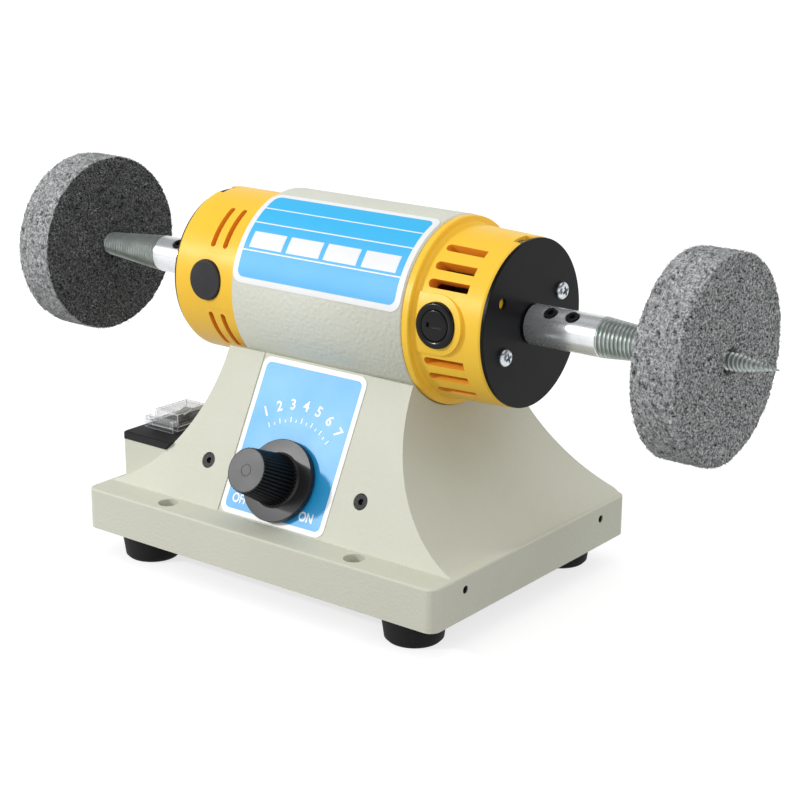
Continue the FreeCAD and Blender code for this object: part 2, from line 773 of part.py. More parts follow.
def bell_end_cuts(end_x, inward, end_r):
    """Shaft window, bolt pockets, plate screw holes and the notch in the end of a bell."""
    outside = end_x - inward
    deep = end_x + inward * (END_WALL + BOLT_BOSS_L + 1)
    pocket = end_x + inward * BOLT_POCKET_D
    wall = end_x + inward * (END_WALL + 1)
    cuts = [disc(min(outside, wall), max(outside, wall), SHAFT_WINDOW_R)]
    for a in (BOLT_ANGLE, BOLT_ANGLE + 180):
        angle = MOTOR_CLOCK + a
        cuts.append(along_x(min(outside, deep), max(outside, deep), BOLT_R + BOLT_GAP, BOLT_PCR, angle))
        pocket_r = BOLT_HEAD_R + BOLT_POCKET_GAP
        cuts.append(along_x(min(outside, pocket), max(outside, pocket), pocket_r, BOLT_PCR, angle))
    for a in (PLATE_SCREW_ANGLE, PLATE_SCREW_ANGLE + 180):
        hole_r = PLATE_SCREW_R + SCREW_GAP
        cuts.append(along_x(min(outside, wall), max(outside, wall), hole_r, PLATE_SCREW_PCR, a))
    lip = end_x + inward * NOTCH_L
    notch = box(min(outside, lip), max(outside, lip), -NOTCH_W / 2, NOTCH_W / 2, end_r - NOTCH_DEPTH, 60)
    cuts.append(radial(notch, 0, MOTOR_CLOCK + BOLT_ANGLE))
    return cuts


def slot_liners(x0, x1, first, last, r_in):
    """Thicker walls behind the cooling slots on the inside of a bell, given from the brush line."""
    low = first - SLOT_LINER_SPREAD
    high = last + SLOT_LINER_SPREAD
    inside = r_in - SLOT_LINER_T
    outside = BELL_IN_R + BELL_WALL / 4
    liners = []
    for line in (MOTOR_CLOCK, MOTOR_CLOCK + 180):
        for a in (line + low, line - high):
            liners.append(arc_block(x0, x1, inside, outside, a, a + high - low))
    return liners


def right_slot():
    half = RIGHT_SLOT_W / 2
    low = RIGHT_IN_R - SLOT_LINER_T - 1
    slot = box(RIGHT_SLOT_START + half, RIGHT_SLOT_END, -half, half, low, 60)
    return slot.fuse(rod(RIGHT_SLOT_START + half, 0, low, half, 60))


def right_slot_liners():
    x0 = RIGHT_SLOT_START - SLOT_LINER_MARGIN
    x1 = RIGHT_SLOT_END + SLOT_LINER_MARGIN
    return slot_liners(x0, x1, RIGHT_SLOT_ANGLES[0], RIGHT_SLOT_ANGLES[-1], RIGHT_IN_R)


def right_end_bell():
    outer = turned([
        (RIM_START, 0),
        (RIM_START, RIM_R - RIM_EDGE),
        (RIM_START + RIM_EDGE, RIM_R),
        (RIM_START + RIM_W - RIM_EDGE, RIM_R),
        (RIM_START + RIM_W, RIM_R - RIM_EDGE),
        (RIM_START + RIM_W, RIGHT_BELL_R + RIM_ROOT),
        (RIM_START + RIM_W + RIM_ROOT, RIGHT_BELL_R),
        (RIGHT_BELL_END - BELL_EDGE, RIGHT_BELL_END_R),
        (RIGHT_BELL_END, RIGHT_BELL_END_R - BELL_EDGE / 2),
        (RIGHT_BELL_END, 0),
    ])
    start = TUBE_RIGHT - BELL_SPIGOT_L
    spigot = disc(start, RIM_START + 1, TUBE_IN_R - SPIGOT_GAP)
    inner = turned([
        (start - 1, 0),
        (start - 1, BELL_IN_R),
        (RIM_START, BELL_IN_R),
        (RIGHT_BELL_END - END_WALL, RIGHT_IN_R),
        (RIGHT_BELL_END - END_WALL, 0),
    ])
    body = fuse([outer, spigot] + d_pad(RIM_START + RIM_W / 2, BRUSH_X, PAD_R, BELL_IN_R))
    body = body.cut(inner)
    bosses = bolt_bosses(RIGHT_BELL_END, -1, RIGHT_IN_R + 1)
    body = fuse([body, bell_hub(RIGHT_BELL_END, -1)] + bosses + right_slot_liners())
    body = body.cut(bell_seat(RIGHT_BELL_END, -1))
    slot = right_slot()
    cuts = []
    for line in (MOTOR_CLOCK, MOTOR_CLOCK + 180):
        for a in RIGHT_SLOT_ANGLES:
            cuts.append(radial(slot, 0, line + a))
            cuts.append(radial(slot, 0, line - a))
    collar = rod(0, 0, BRUSH_TOP - COLLAR_T, COLLAR_R + HOLDER_GAP, 10)
    hole = collar.fuse(rod(0, 0, HOLDER_END, HOLDER_R + HOLDER_GAP, 30))
    cuts += both_sides(lambda a: radial(hole, BRUSH_X, a))
    return cut(body, cuts + bell_end_cuts(RIGHT_BELL_END, -1, RIGHT_BELL_END_R)).removeSplitter()


def arc_block(x0, x1, r0, r1, a0, a1):
    """Block swept round the motor axis from angle a0 to a1."""
    points = [axis_point(x0, r0, a0), axis_point(x1, r0, a0), axis_point(x1, r1, a0), axis_point(x0, r1, a0)]
    face = Part.Face(Part.makePolygon(points + points[:1]))
    return face.revolve(V(0, AXIS_Y, AXIS_Z), V(-1, 0, 0), a1 - a0)


def left_slot(x, a0, a1):
    half = LEFT_SLOT_W / 2
    low = BELL_IN_R - SLOT_LINER_T - 1
    slot = arc_block(x - half, x + half, low, low + 12, a0, a1)
    ends = [radial(rod(0, 0, low, half, 12), x, a) for a in (a0, a1)]
    return slot.fuse(ends[0]).fuse(ends[1])


def left_slot_liners():
    reach = LEFT_SLOT_W / 2 + SLOT_LINER_MARGIN
    x0 = LEFT_SLOT_XS[0] - reach
    x1 = LEFT_SLOT_XS[-1] + reach
    return slot_liners(x0, x1, LEFT_SLOT_FROM, LEFT_SLOT_TO, BELL_IN_R)


def left_end_bell():
    outer = turned([
        (LEFT_BELL_END, 0),
        (LEFT_BELL_END, LEFT_BELL_R - BELL_EDGE / 2),
        (LEFT_BELL_END + BELL_EDGE, LEFT_BELL_R),
        (TUBE_LEFT, LEFT_BELL_R),
        (TUBE_LEFT, 0),
    ])
    stop = TUBE_LEFT + BELL_SPIGOT_L
    spigot = disc(TUBE_LEFT - 1, stop, TUBE_IN_R - SPIGOT_GAP)
    spigot = spigot.cut(tube(TUBE_LEFT - 2, TUBE_LEFT, LEFT_BELL_R, TUBE_R))
    pads = d_pad(TUBE_LEFT, PLUG_X, PLUG_PAD_R, BELL_IN_R)
    pads = [p.common(disc(LEFT_BELL_END, TUBE_LEFT, TUBE_R)) for p in pads]
    body = fuse([outer, spigot] + pads)
    body = body.cut(disc(LEFT_BELL_END + END_WALL, stop + 1, BELL_IN_R))
    bosses = bolt_bosses(LEFT_BELL_END, 1, BELL_IN_R + 1)
    body = fuse([body, bell_hub(LEFT_BELL_END, 1)] + bosses + left_slot_liners())
    body = body.cut(bell_seat(LEFT_BELL_END, 1))
    cuts = []
    for line in (MOTOR_CLOCK, MOTOR_CLOCK + 180):
        for x in LEFT_SLOT_XS:
            cuts.append(left_slot(x, line + LEFT_SLOT_FROM, line + LEFT_SLOT_TO))
            cuts.append(left_slot(x, line - LEFT_SLOT_TO, line - LEFT_SLOT_FROM))
    recess = rod(0, 0, PLUG_PAD_R - PLUG_RECESS, PLUG_R + PLUG_GAP, 10)
    hole = recess.fuse(rod(0, 0, BELL_IN_R - 2, PLUG_SPIGOT_R + PLUG_GAP, 10))
    cuts += both_sides(lambda a: radial(hole, PLUG_X, a))
    return cut(body, cuts + bell_end_cuts(LEFT_BELL_END, 1, LEFT_BELL_R)).removeSplitter()


def bell_plugs():
    seat = PLUG_PAD_R - PLUG_RECESS
    head = rod(0, 0, seat, PLUG_R, PLUG_RECESS + PLUG_PROUD)
    top = [e for e in head.Edges if abs(e.CenterOfMass.z - seat - PLUG_RECESS - PLUG_PROUD) < 0.01]
    head = head.makeFillet(PLUG_PROUD, top)
    plug = head.fuse(rod(0, 0, seat - PLUG_DEPTH, PLUG_SPIGOT_R, PLUG_DEPTH + 0.5))
    plug = plug.cut(rod(0, 0, seat - PLUG_DEPTH - 1, PLUG_SPIGOT_R - 1.2, PLUG_DEPTH))
    return Part.Compound(both_sides(lambda a: radial(plug, PLUG_X, a)))


def end_plate(x0, r):
    plate = disc(x0, x0 + PLATE_T, r)
    cuts = [disc(x0 - 1, x0 + PLATE_T + 1, PLATE_BORE_R)]
    for a in (PLATE_SCREW_ANGLE, PLATE_SCREW_ANGLE + 180):
        cuts.append(along_x(x0 - 1, x0 + PLATE_T + 1, PLATE_SCREW_R + SCREW_GAP, PLATE_SCREW_PCR, a))
    hole = along_x(x0 - 1, x0 + PLATE_T + 1, PLATE_HOLE_R, PLATE_HOLE_PCR, PLATE_HOLE_ANGLE)
    return cut(plate, cuts + [hole])


def left_end_plate():
    return end_plate(LEFT_BELL_END - PLATE_T, LEFT_PLATE_R)


def right_end_plate():
    return end_plate(RIGHT_BELL_END, RIGHT_PLATE_R)


def end_plate_screws():
    one = screw(PLATE_SCREW_R, PLATE_SCREW_L, PLATE_HEAD_R, PLATE_HEAD_H, 0, True)
    screws = []
    for a in (PLATE_SCREW_ANGLE, PLATE_SCREW_ANGLE + 180):
        out = axis_point(RIGHT_BELL_END + PLATE_T, PLATE_SCREW_PCR, a)
        screws.append(aimed(one, out, V(1, 0, 0)))
        out = axis_point(LEFT_BELL_END - PLATE_T, PLATE_SCREW_PCR, a)
        screws.append(aimed(one, out, V(-1, 0, 0)))
    return Part.Compound(screws)


def through_bolts():
    """Two long bolts with a head in the right bell and a nut in the left bell."""
    head_x = RIGHT_BELL_END - BOLT_POCKET_D
    nut_x = LEFT_BELL_END + BOLT_POCKET_D
    pieces = []
    for a in (BOLT_ANGLE, BOLT_ANGLE + 180):
        angle = MOTOR_CLOCK + a
        shank = along_x(nut_x - BOLT_HEAD_H, head_x, BOLT_R, BOLT_PCR, angle)
        head = along_x(head_x, head_x + BOLT_HEAD_H, BOLT_HEAD_R, BOLT_PCR, angle)
        nut = hex_prism(0, 0, 0, BOLT_HEAD_R, BOLT_HEAD_H)
        nut = aimed(nut, axis_point(nut_x, BOLT_PCR, angle), V(-1, 0, 0))
        pieces.append(shank.fuse(head).fuse(nut))
    return Part.Compound(pieces)


def stator_core():
    core = tube(CORE_LEFT, CORE_RIGHT, ARMATURE_R + AIR_GAP, TUBE_IN_R - STATOR_GAP)
    low = COIL_IN_R - COIL_GAP
    high = COIL_OUT_R + COIL_GAP
    half = COIL_HALF_ANGLE + COIL_GAP_ANGLE
    cuts = []
    for quarter in range(4):
        mid = MOTOR_CLOCK + COIL_MID_ANGLE + 90 * quarter
        cuts.append(arc_block(CORE_LEFT - 1, CORE_RIGHT + 1, low, high, mid - half, mid + half))
    for a in (BOLT_ANGLE, BOLT_ANGLE + 180):
        cuts.append(along_x(CORE_LEFT - 1, CORE_RIGHT + 1, BOLT_R + BOLT_GAP, BOLT_PCR, MOTOR_CLOCK + a))
    return cut(core, cuts)


def field_coils():
    coils = []
    side = 2 * COIL_HALF_ANGLE
    for pole in (90, 270):
        first = MOTOR_CLOCK + pole - COIL_MID_ANGLE - COIL_HALF_ANGLE
        last = MOTOR_CLOCK + pole + COIL_MID_ANGLE + COIL_HALF_ANGLE
        parts = [
            arc_block(CORE_LEFT, CORE_RIGHT, COIL_IN_R, COIL_OUT_R, first, first + side),
            arc_block(CORE_LEFT, CORE_RIGHT, COIL_IN_R, COIL_OUT_R, last - side, last),
            arc_block(CORE_LEFT - COIL_END_L, CORE_LEFT, COIL_IN_R, COIL_OUT_R, first, last),
            arc_block(CORE_RIGHT, CORE_RIGHT + COIL_END_L, COIL_IN_R, COIL_OUT_R, first, last),
        ]
        coils.append(fuse(parts))
    return Part.Compound(coils)


def brush_holders():
    seat = BRUSH_TOP - COLLAR_T
    body = rod(0, 0, seat, COLLAR_R, COLLAR_T)
    body = body.fuse(rod(0, 0, HOLDER_END, HOLDER_R, seat - HOLDER_END + 0.5))
    body = body.cut(rod(0, 0, HOLDER_END - 1, HOLDER_BORE_R, BRUSH_TOP))
    body = body.cut(rod(0, 0, BRUSH_TOP - CAP_T, CAP_R + CAP_GAP, CAP_T + 1))
    return Part.Compound(both_sides(lambda a: radial(body, BRUSH_X, a)))


def brush_caps():
    cap = rod(0, 0, BRUSH_TOP - CAP_T, CAP_R, CAP_T)
    cap = cap.fuse(rod(0, 0, BRUSH_TOP - CAP_T - CAP_STEM_L, CAP_STEM_R, CAP_STEM_L))
    half_w = CAP_SLOT_W / 2
    half_l = CAP_SLOT_L / 2
    cap = cap.cut(box(-half_l, half_l, -half_w, half_w, BRUSH_TOP - CAP_SLOT_D, BRUSH_TOP + 1))
    return Part.Compound(both_sides(lambda a: radial(cap, BRUSH_X, a)))


def carbon_brushes():
    half = BRUSH_W / 2
    tip = COMMUTATOR_R + BRUSH_GAP
    brush = box(-half, half, -half, half, tip - 2, tip + BRUSH_L)
    track = disc(BRUSH_X - BRUSH_W, BRUSH_X + BRUSH_W, tip)
    return Part.Compound(both_sides(lambda a: radial(brush, BRUSH_X, a).cut(track)))


def brush_springs():
    low = COMMUTATOR_R + BRUSH_GAP + BRUSH_L + SPRING_SEAT_GAP
    high = BRUSH_TOP - CAP_T - CAP_STEM_L - SPRING_SEAT_GAP
    spring = rod(0, 0, low, SPRING_R + SPRING_WIRE_R, high - low)
    spring = spring.cut(rod(0, 0, low - 1, SPRING_R - SPRING_WIRE_R, high - low + 2))
    return Part.Compound(both_sides(lambda a: radial(spring, BRUSH_X, a)))


def bearing_race(x0, r_in, r_out):
    ring = tube(x0, x0 + BEARING_W, r_in, r_out)
    groove = Part.makeTorus(BALL_PITCH_R, BALL_R + BALL_GAP, V(x0 + BEARING_W / 2, 0, 0), X_AXIS)
    return ring.cut(on_axis(groove))


def bearing_outer_races():
    return Part.Compound([bearing_race(x, RACE_OUTER_R, BEARING_R) for x in (LEFT_SEAT, RIGHT_SEAT)])


def bearing_inner_races():
    bore = SHAFT_R + FIT_GAP
    return Part.Compound([bearing_race(x, bore, RACE_INNER_R) for x in (LEFT_SEAT, RIGHT_SEAT)])


def bearing_balls():
    balls = []
    for x in (LEFT_SEAT, RIGHT_SEAT):
        for i in range(BALL_COUNT):
            centre = axis_point(x + BEARING_W / 2, BALL_PITCH_R, 360 * i / BALL_COUNT)
            balls.append(Part.makeSphere(BALL_R, centre))
    return Part.Compound(balls)


def motor_shaft():
    ends = disc(-SHAFT_HALF, SHAFT_HALF, SHAFT_R)
    return fuse([ends, disc(-SHAFT_CORE_HALF, SHAFT_CORE_HALF, SHAFT_CORE_R)])


def armature_core():
    core = tube(CORE_LEFT, CORE_RIGHT, SHAFT_CORE_R + FIT_GAP, ARMATURE_R)
    half = ARMATURE_SLOT_W / 2
    floor = ARMATURE_R - ARMATURE_SLOT_D
    slot = box(CORE_LEFT - 1, CORE_RIGHT + 1, -half, half, floor, ARMATURE_R + 5)
    return cut(core, [radial(slot, 0, 360 * i / ARMATURE_SLOTS) for i in range(ARMATURE_SLOTS)])


def armature_windings():
    bore = SHAFT_CORE_R + FIT_GAP
    rings = []
    for start, way in ((CORE_RIGHT, 1), (CORE_LEFT, -1)):
        far = start + way * WINDING_L
        rings.append(turned([
            (start, bore),
            (start, WINDING_R),
            (far - way * WINDING_EDGE, WINDING_R),
            (far, WINDING_R - WINDING_EDGE),
            (far, bore),
        ]))
    return Part.Compound(rings)


def commutator():
    x0 = BRUSH_X - COMMUTATOR_HALF
    x1 = BRUSH_X + COMMUTATOR_HALF
    half = COMMUTATOR_SLOT_W / 2
    slot = box(x0 - 1, x1 + 1, -half, half, COMMUTATOR_R - COMMUTATOR_SLOT_D, COMMUTATOR_R + 2)
    slots = [radial(slot, 0, 360 * i / COMMUTATOR_SLOTS) for i in range(COMMUTATOR_SLOTS)]
    return cut(tube(x0, x1, SHAFT_R + FIT_GAP, COMMUTATOR_R), slots)


def cooling_fan():
    parts = [disc(FAN_X, FAN_X + FAN_L, FAN_HUB_R), disc(FAN_X, FAN_X + FAN_PLATE_T, FAN_R)]
    half = FAN_BLADE_T / 2
    blade = box(FAN_X, FAN_X + FAN_L, -half, half, FAN_HUB_R - 1, FAN_R)
    parts += [radial(blade, 0, 360 * i / FAN_BLADES) for i in range(FAN_BLADES)]
    return fuse(parts).cut(disc(FAN_X - 1, FAN_X + FAN_L + 1, SHAFT_R + FIT_GAP))


def thread_r(x):
    """Crest radius of the tapered thread at a distance x from the middle of the machine."""
    if x < THREAD_KNEE:
        return SLEEVE_R - (x - THREAD_START) * THREAD_SLOPE
    fall = (THREAD_KNEE_R - SPINDLE_TIP_R) / (SPINDLE_TIP - THREAD_KNEE)
    return THREAD_KNEE_R - (x - THREAD_KNEE) * fall


def right_spindle():
    points = [
        (SLEEVE_START, 0),
        (SLEEVE_START, SLEEVE_R - SLEEVE_EDGE),
        (SLEEVE_START + SLEEVE_EDGE, SLEEVE_R),
    ]
    for i in range(int((SPINDLE_TIP - THREAD_START) / THREAD_PITCH)):
        crest = THREAD_START + i * THREAD_PITCH
        root = crest + THREAD_PITCH / 2
        points.append((crest, thread_r(crest)))
        points.append((root, thread_r(root) - min(THREAD_DEPTH, thread_r(root) / 3)))
    points += [(SPINDLE_TIP, SPINDLE_TIP_R), (SPINDLE_TIP, 0)]
    bore_end = SHAFT_HALF + SPINDLE_BORE_EXTRA
    cuts = [disc(SLEEVE_START - 1, bore_end, SHAFT_R + SPINDLE_BORE_GAP)]
    hole = rod(0, 0, 0, SET_SCREW_R + SCREW_GAP, SLEEVE_R + 2)
    cuts += [radial(hole, x, SET_SCREW_ANGLE) for x in SET_SCREW_XS]
    return cut(turned(points), cuts)


def left_spindle():
    return mirror_x(right_spindle())


def spindle_set_screws():
    low = SHAFT_R + FIT_GAP
    high = SLEEVE_R + SET_SCREW_PROUD
    one = rod(0, 0, low, SET_SCREW_R, high - low)
    one = one.cut(hex_prism(0, 0, high - SET_SOCKET_D, SET_SOCKET_R, SET_SOCKET_D + 1))
    return Part.Compound([radial(one, s * x, SET_SCREW_ANGLE) for x in SET_SCREW_XS for s in (-1, 1)])


def right_wheel():
    outer = WHEEL_IN_X + WHEEL_T
    return turned([
        (WHEEL_IN_X, WHEEL_BORE_R),
        (WHEEL_IN_X, WHEEL_R - WHEEL_EDGE),
        (WHEEL_IN_X + WHEEL_EDGE, WHEEL_R),
        (outer - WHEEL_EDGE, WHEEL_R),
        (outer, WHEEL_R - WHEEL_EDGE),
        (outer, WHEEL_BORE_R),
    ])


def left_wheel():
    return mirror_x(right_wheel())


def front_panel_label():
    label = rounded_plate(LABEL_U, LABEL_V, -PANEL_RECESS_D, LABEL_T, LABEL_CORNER_R)
    label.translate(V(0, LABEL_START + LABEL_V / 2, 0))
    label = label.cut(rod(0, KNOB_V, -PED_WALL, KNOB_HOLLOW_R, PED_WALL + 1))
    return on_panel(label).cut(disc(-BIG / 2, BIG / 2, SADDLE_R + LABEL_MARGIN))


def body_label():
    low = TUBE_R + FIT_GAP
    high = low + BODY_LABEL_T
    return arc_block(BODY_LABEL_LEFT, BODY_LABEL_RIGHT, low, high, BODY_LABEL_FROM, BODY_LABEL_TO)


def front_screws():
    reach = PED_WALL - FRONT_HOLE_D + 0.6 * STANDOFF_L
    one = screw(FRONT_SHANK_R, reach, FRONT_HEAD_R, FRONT_HEAD_H, FRONT_SOCKET_R)
    one.translate(V(0, FRONT_SCREW_V, -FRONT_HOLE_D))
    screws = []
    for side in (-1, 1):
        placed = one.copy()
        placed.translate(V(side * FRONT_SCREW_U, 0, 0))
        screws.append(on_panel(placed))
    return Part.Compound(screws)


def board_standoffs():
    posts = []
    for side in (-1, 1):
        u = side * FRONT_SCREW_U
        post = rod(u, FRONT_SCREW_V, -PED_WALL - STANDOFF_L, STANDOFF_R, STANDOFF_L)
        bore_r = FRONT_SHANK_R + SCREW_GAP
        post = post.cut(rod(u, FRONT_SCREW_V, -PED_WALL - STANDOFF_L - 1, bore_r, STANDOFF_L + 2))
        posts.append(on_panel(post))
    return Part.Compound(posts)


def control_board():
    top = -PED_WALL - STANDOFF_L
    middle = FRONT_SCREW_V
    board = box(-BOARD_U / 2, BOARD_U / 2, middle - BOARD_V / 2, middle + BOARD_V / 2, top - BOARD_T, top)
    for side in (-1, 1):
        hole = rod(side * FRONT_SCREW_U, middle, top - 5, BOARD_SCREW_R + BOARD_HOLE_GAP, 10)
        board = board.cut(hole)
    return on_panel(board)


def board_screws():
    """Two screws from behind the board into the standoffs."""
    under = -PED_WALL - STANDOFF_L - BOARD_T
    screws = []
    for side in (-1, 1):
        one = screw(BOARD_SCREW_R, BOARD_T + 0.3 * STANDOFF_L, BOARD_HEAD_R, BOARD_HEAD_H, 0, True)
        one = aimed(one, V(side * FRONT_SCREW_U, FRONT_SCREW_V, under), V(0, 0, -1))
        screws.append(on_panel(one))
    return Part.Compound(screws)


def board_capacitor():
    under = -PED_WALL - STANDOFF_L - BOARD_T
    can = rod(CAPACITOR_U, FRONT_SCREW_V, under - CAPACITOR_L, CAPACITOR_R, CAPACITOR_L)
    return on_panel(can)


def board_heatsink():
    under = -PED_WALL - STANDOFF_L - BOARD_T
    u0 = HEATSINK_U - HEATSINK_W / 2
    v0 = FRONT_SCREW_V - HEATSINK_V / 2
    parts = [box(u0, u0 + HEATSINK_W, v0, v0 + HEATSINK_V, under - HEATSINK_BASE, under)]
    step = (HEATSINK_W - HEATSINK_FIN_T) / (HEATSINK_FINS - 1)
    for i in range(HEATSINK_FINS):
        u = u0 + i * step
        parts.append(box(u, u + HEATSINK_FIN_T, v0, v0 + HEATSINK_V, under - HEATSINK_H, under - 1))
    return on_panel(fuse(parts))


def potentiometer_body():
    body = rod(0, KNOB_V, -PED_WALL - POT_BODY_L, POT_BODY_R, POT_BODY_L)
    body = body.fuse(rod(0, KNOB_V, -PED_WALL - 1, POT_BUSH_R, PED_WALL + 1 + POT_BUSH_TOP))
    bore = rod(0, KNOB_V, -PED_WALL - POT_BODY_L / 2, POT_SHAFT_R + POT_SHAFT_GAP, BIG / 8)
    return on_panel(body.cut(bore))


def potentiometer_nut():
    nut = hex_prism(0, KNOB_V, -PANEL_RECESS_D, POT_NUT_R, POT_NUT_T)
    nut = nut.cut(rod(0, KNOB_V, -PED_WALL, POT_BUSH_R + FIT_GAP, 2 * PED_WALL))
    return on_panel(nut)


def potentiometer_shaft():
    low = FIT_GAP - PED_WALL - POT_BODY_L / 2
    return on_panel(rod(0, KNOB_V, low, POT_SHAFT_R, POT_SHAFT_TOP - low))


def speed_knob():
    flat = KNOB_LIFT + SKIRT_T
    profile = [
        (0, KNOB_LIFT),
        (SKIRT_R - SKIRT_EDGE, KNOB_LIFT),
        (SKIRT_R, KNOB_LIFT + SKIRT_EDGE),
        (SKIRT_R, flat - SKIRT_EDGE),
        (SKIRT_R - SKIRT_EDGE, flat),
        (GRIP_BASE_R, flat + SKIRT_RISE),
        (GRIP_TOP_R, GRIP_TOP - SKIRT_EDGE),
        (GRIP_TOP_R - SKIRT_EDGE, GRIP_TOP),
        (0, GRIP_TOP),
    ]
    face = Part.Face(Part.makePolygon([V(r, 0, z) for r, z in profile + profile[:1]]))
    knob = face.revolve(V(0, 0, 0), Z_AXIS, 360)
    foot = flat + SKIRT_RISE
    axis = V(GRIP_TOP_R - GRIP_BASE_R, 0, GRIP_TOP - foot)
    flutes = []
    for i in range(FLUTES):
        flute = Part.makeCylinder(FLUTE_DEPTH, GRIP_TOP, V(GRIP_BASE_R, 0, foot + SKIRT_EDGE), axis)
        flute.rotate(V(0, 0, 0), Z_AXIS, 360 * i / FLUTES)
        flutes.append(flute)
    knob = knob.cut(Part.Compound(flutes))
    knob = knob.cut(rod(0, 0, 0, KNOB_HOLLOW_R, KNOB_LIFT + KNOB_HOLLOW_D))
    knob = knob.cut(rod(0, 0, 0, POT_SHAFT_R + FIT_GAP, POT_SHAFT_TOP + FIT_GAP))
    knob.translate(V(0, KNOB_V, 0))
    return on_panel(knob)


def switch_plate():
    x0 = POCKET_LEFT - PLATE_OVERHANG
    y0 = POCKET_FRONT - PLATE_OVERHANG
    y1 = POCKET_BACK + PLATE_OVERHANG
    plate = box(x0, FLANK_X, y0, y1, POCKET_TOP, PLATE_TOP)
    rim = [e for e in plate.Edges if all(abs(p.Z - PLATE_TOP) < 0.01 for p in e.Vertexes)]
    plate = plate.makeChamfer(PLATE_BEVEL, rim)
    plate = plate.cut(side_profile(-PLATE_WALL_GAP, POCKET_TOP - 5, SIDE_ARC_Z + 5))
    half_x = SW_BODY_X / 2 + SW_FIT
    half_y = SW_BODY_Y / 2 + SW_FIT
    cuts = [box(SW_X - half_x, SW_X + half_x, SW_Y - half_y, SW_Y + half_y, POCKET_TOP - 1, PLATE_TOP + 1)]
    for x in SMALL_SCREW_XS:
        cuts.append(rod(x, POCKET_SCREW_Y, POCKET_TOP - 1, SMALL_SCREW_R + SCREW_GAP, PLATE_H + 2))
        cuts.append(rod(x, POCKET_SCREW_Y, PLATE_TOP - SMALL_HEAD_H, SMALL_HEAD_R + SCREW_GAP, PLATE_H))
    return cut(plate, cuts)


def switch_plate_screws():
    reach = SMALL_SCREW_L + PLATE_H - SMALL_HEAD_H - 0.5
    one = screw(SMALL_SCREW_R, reach, SMALL_HEAD_R, SMALL_HEAD_H, 0, True)
    seat = PLATE_TOP - SMALL_HEAD_H
    return Part.Compound([aimed(one, V(x, POCKET_SCREW_Y, seat), Z_AXIS) for x in SMALL_SCREW_XS])


def switch_body():
    half_x = SW_FLANGE_X / 2
    half_y = SW_FLANGE_Y / 2
    top = PLATE_TOP + SW_FLANGE_T
    flange = box(-half_x, half_x, -half_y, half_y, PLATE_TOP, top)
    half_x = SW_BODY_X / 2
    half_y = SW_BODY_Y / 2
    body = flange.fuse(box(-half_x, half_x, -half_y, half_y, PLATE_TOP - SW_BODY_D, PLATE_TOP + 1))
    half_x = ROCKER_X / 2 + ROCKER_SIDE_GAP
    half_y = ROCKER_END_R + ROCKER_LENGTH_GAP
    body = body.cut(box(-half_x, half_x, -half_y, half_y, PIVOT_Z - ROCKER_WELL_D, top + 1))
    reach = ROCKER_X / 2 + ROCKER_PIN_L + PIN_GAP
    body = body.cut(rod(-reach, 0, PIVOT_Z, ROCKER_PIN_R + PIN_GAP, 2 * reach, X_AXIS))
    body.translate(V(SW_X, SW_Y, 0))
    return body


def switch_terminals():
    top = PLATE_TOP - SW_BODY_D
    blades = []
    x = SW_X - TERMINAL_W / 2
    for i in (-0.5, 0.5):
        y = SW_Y + i * TERMINAL_PITCH - TERMINAL_T / 2
        blades.append(box(x, x + TERMINAL_W, y, y + TERMINAL_T, top - TERMINAL_L, top))
    return Part.Compound(blades)


def rocker():
    end = ROCKER_END_R
    barrel = rod(-ROCKER_X / 2, 0, 0, end, ROCKER_X, X_AXIS)
    points = [
        (-ROCKER_X, -end - 1, -ROCKER_BOTTOM),
        (-ROCKER_X, end + 1, -ROCKER_BOTTOM),
        (-ROCKER_X, end + 1, ROCKER_TOP),
        (-ROCKER_X, 0, ROCKER_TOP - ROCKER_DIP),
        (-ROCKER_X, -end - 1, ROCKER_TOP),
    ]
    key = barrel.common(prism(points, V(2 * ROCKER_X, 0, 0)))
    reach = ROCKER_X / 2 + ROCKER_PIN_L
    key = key.fuse(rod(-reach, 0, 0, ROCKER_PIN_R, 2 * reach, X_AXIS))
    key.rotate(V(0, 0, 0), X_AXIS, ROCKER_TILT)
    key.translate(V(SW_X, SW_Y, PIVOT_Z))
    return key


def cover_frame():
    half_x = FRAME_X / 2
    top = PLATE_TOP + FRAME_T
    ring = box(-half_x, half_x, FRAME_FRONT, FRAME_BACK, PLATE_TOP, top)
    win_x = SW_FLANGE_X / 2 + FRAME_WINDOW_GAP
    win_y = SW_FLANGE_Y / 2 + FRAME_WINDOW_GAP
    ring = ring.cut(box(-win_x, win_x, SW_Y - win_y, SW_Y + win_y, PLATE_TOP - 1, top + 1))
    parts = [ring]
    for x in (-half_x, half_x - LUG_W):
        lug_top = HINGE_Z + LUG_TOP
        parts.append(box(x, x + LUG_W, HINGE_Y - LUG_HALF, HINGE_Y + LUG_HALF, top - 1, lug_top))
    body = fuse(parts).cut(rod(-half_x - 1, HINGE_Y, HINGE_Z, HINGE_PIN_R + PIN_GAP, FRAME_X + 2, X_AXIS))
    body.translate(V(SW_X, 0, 0))
    return body


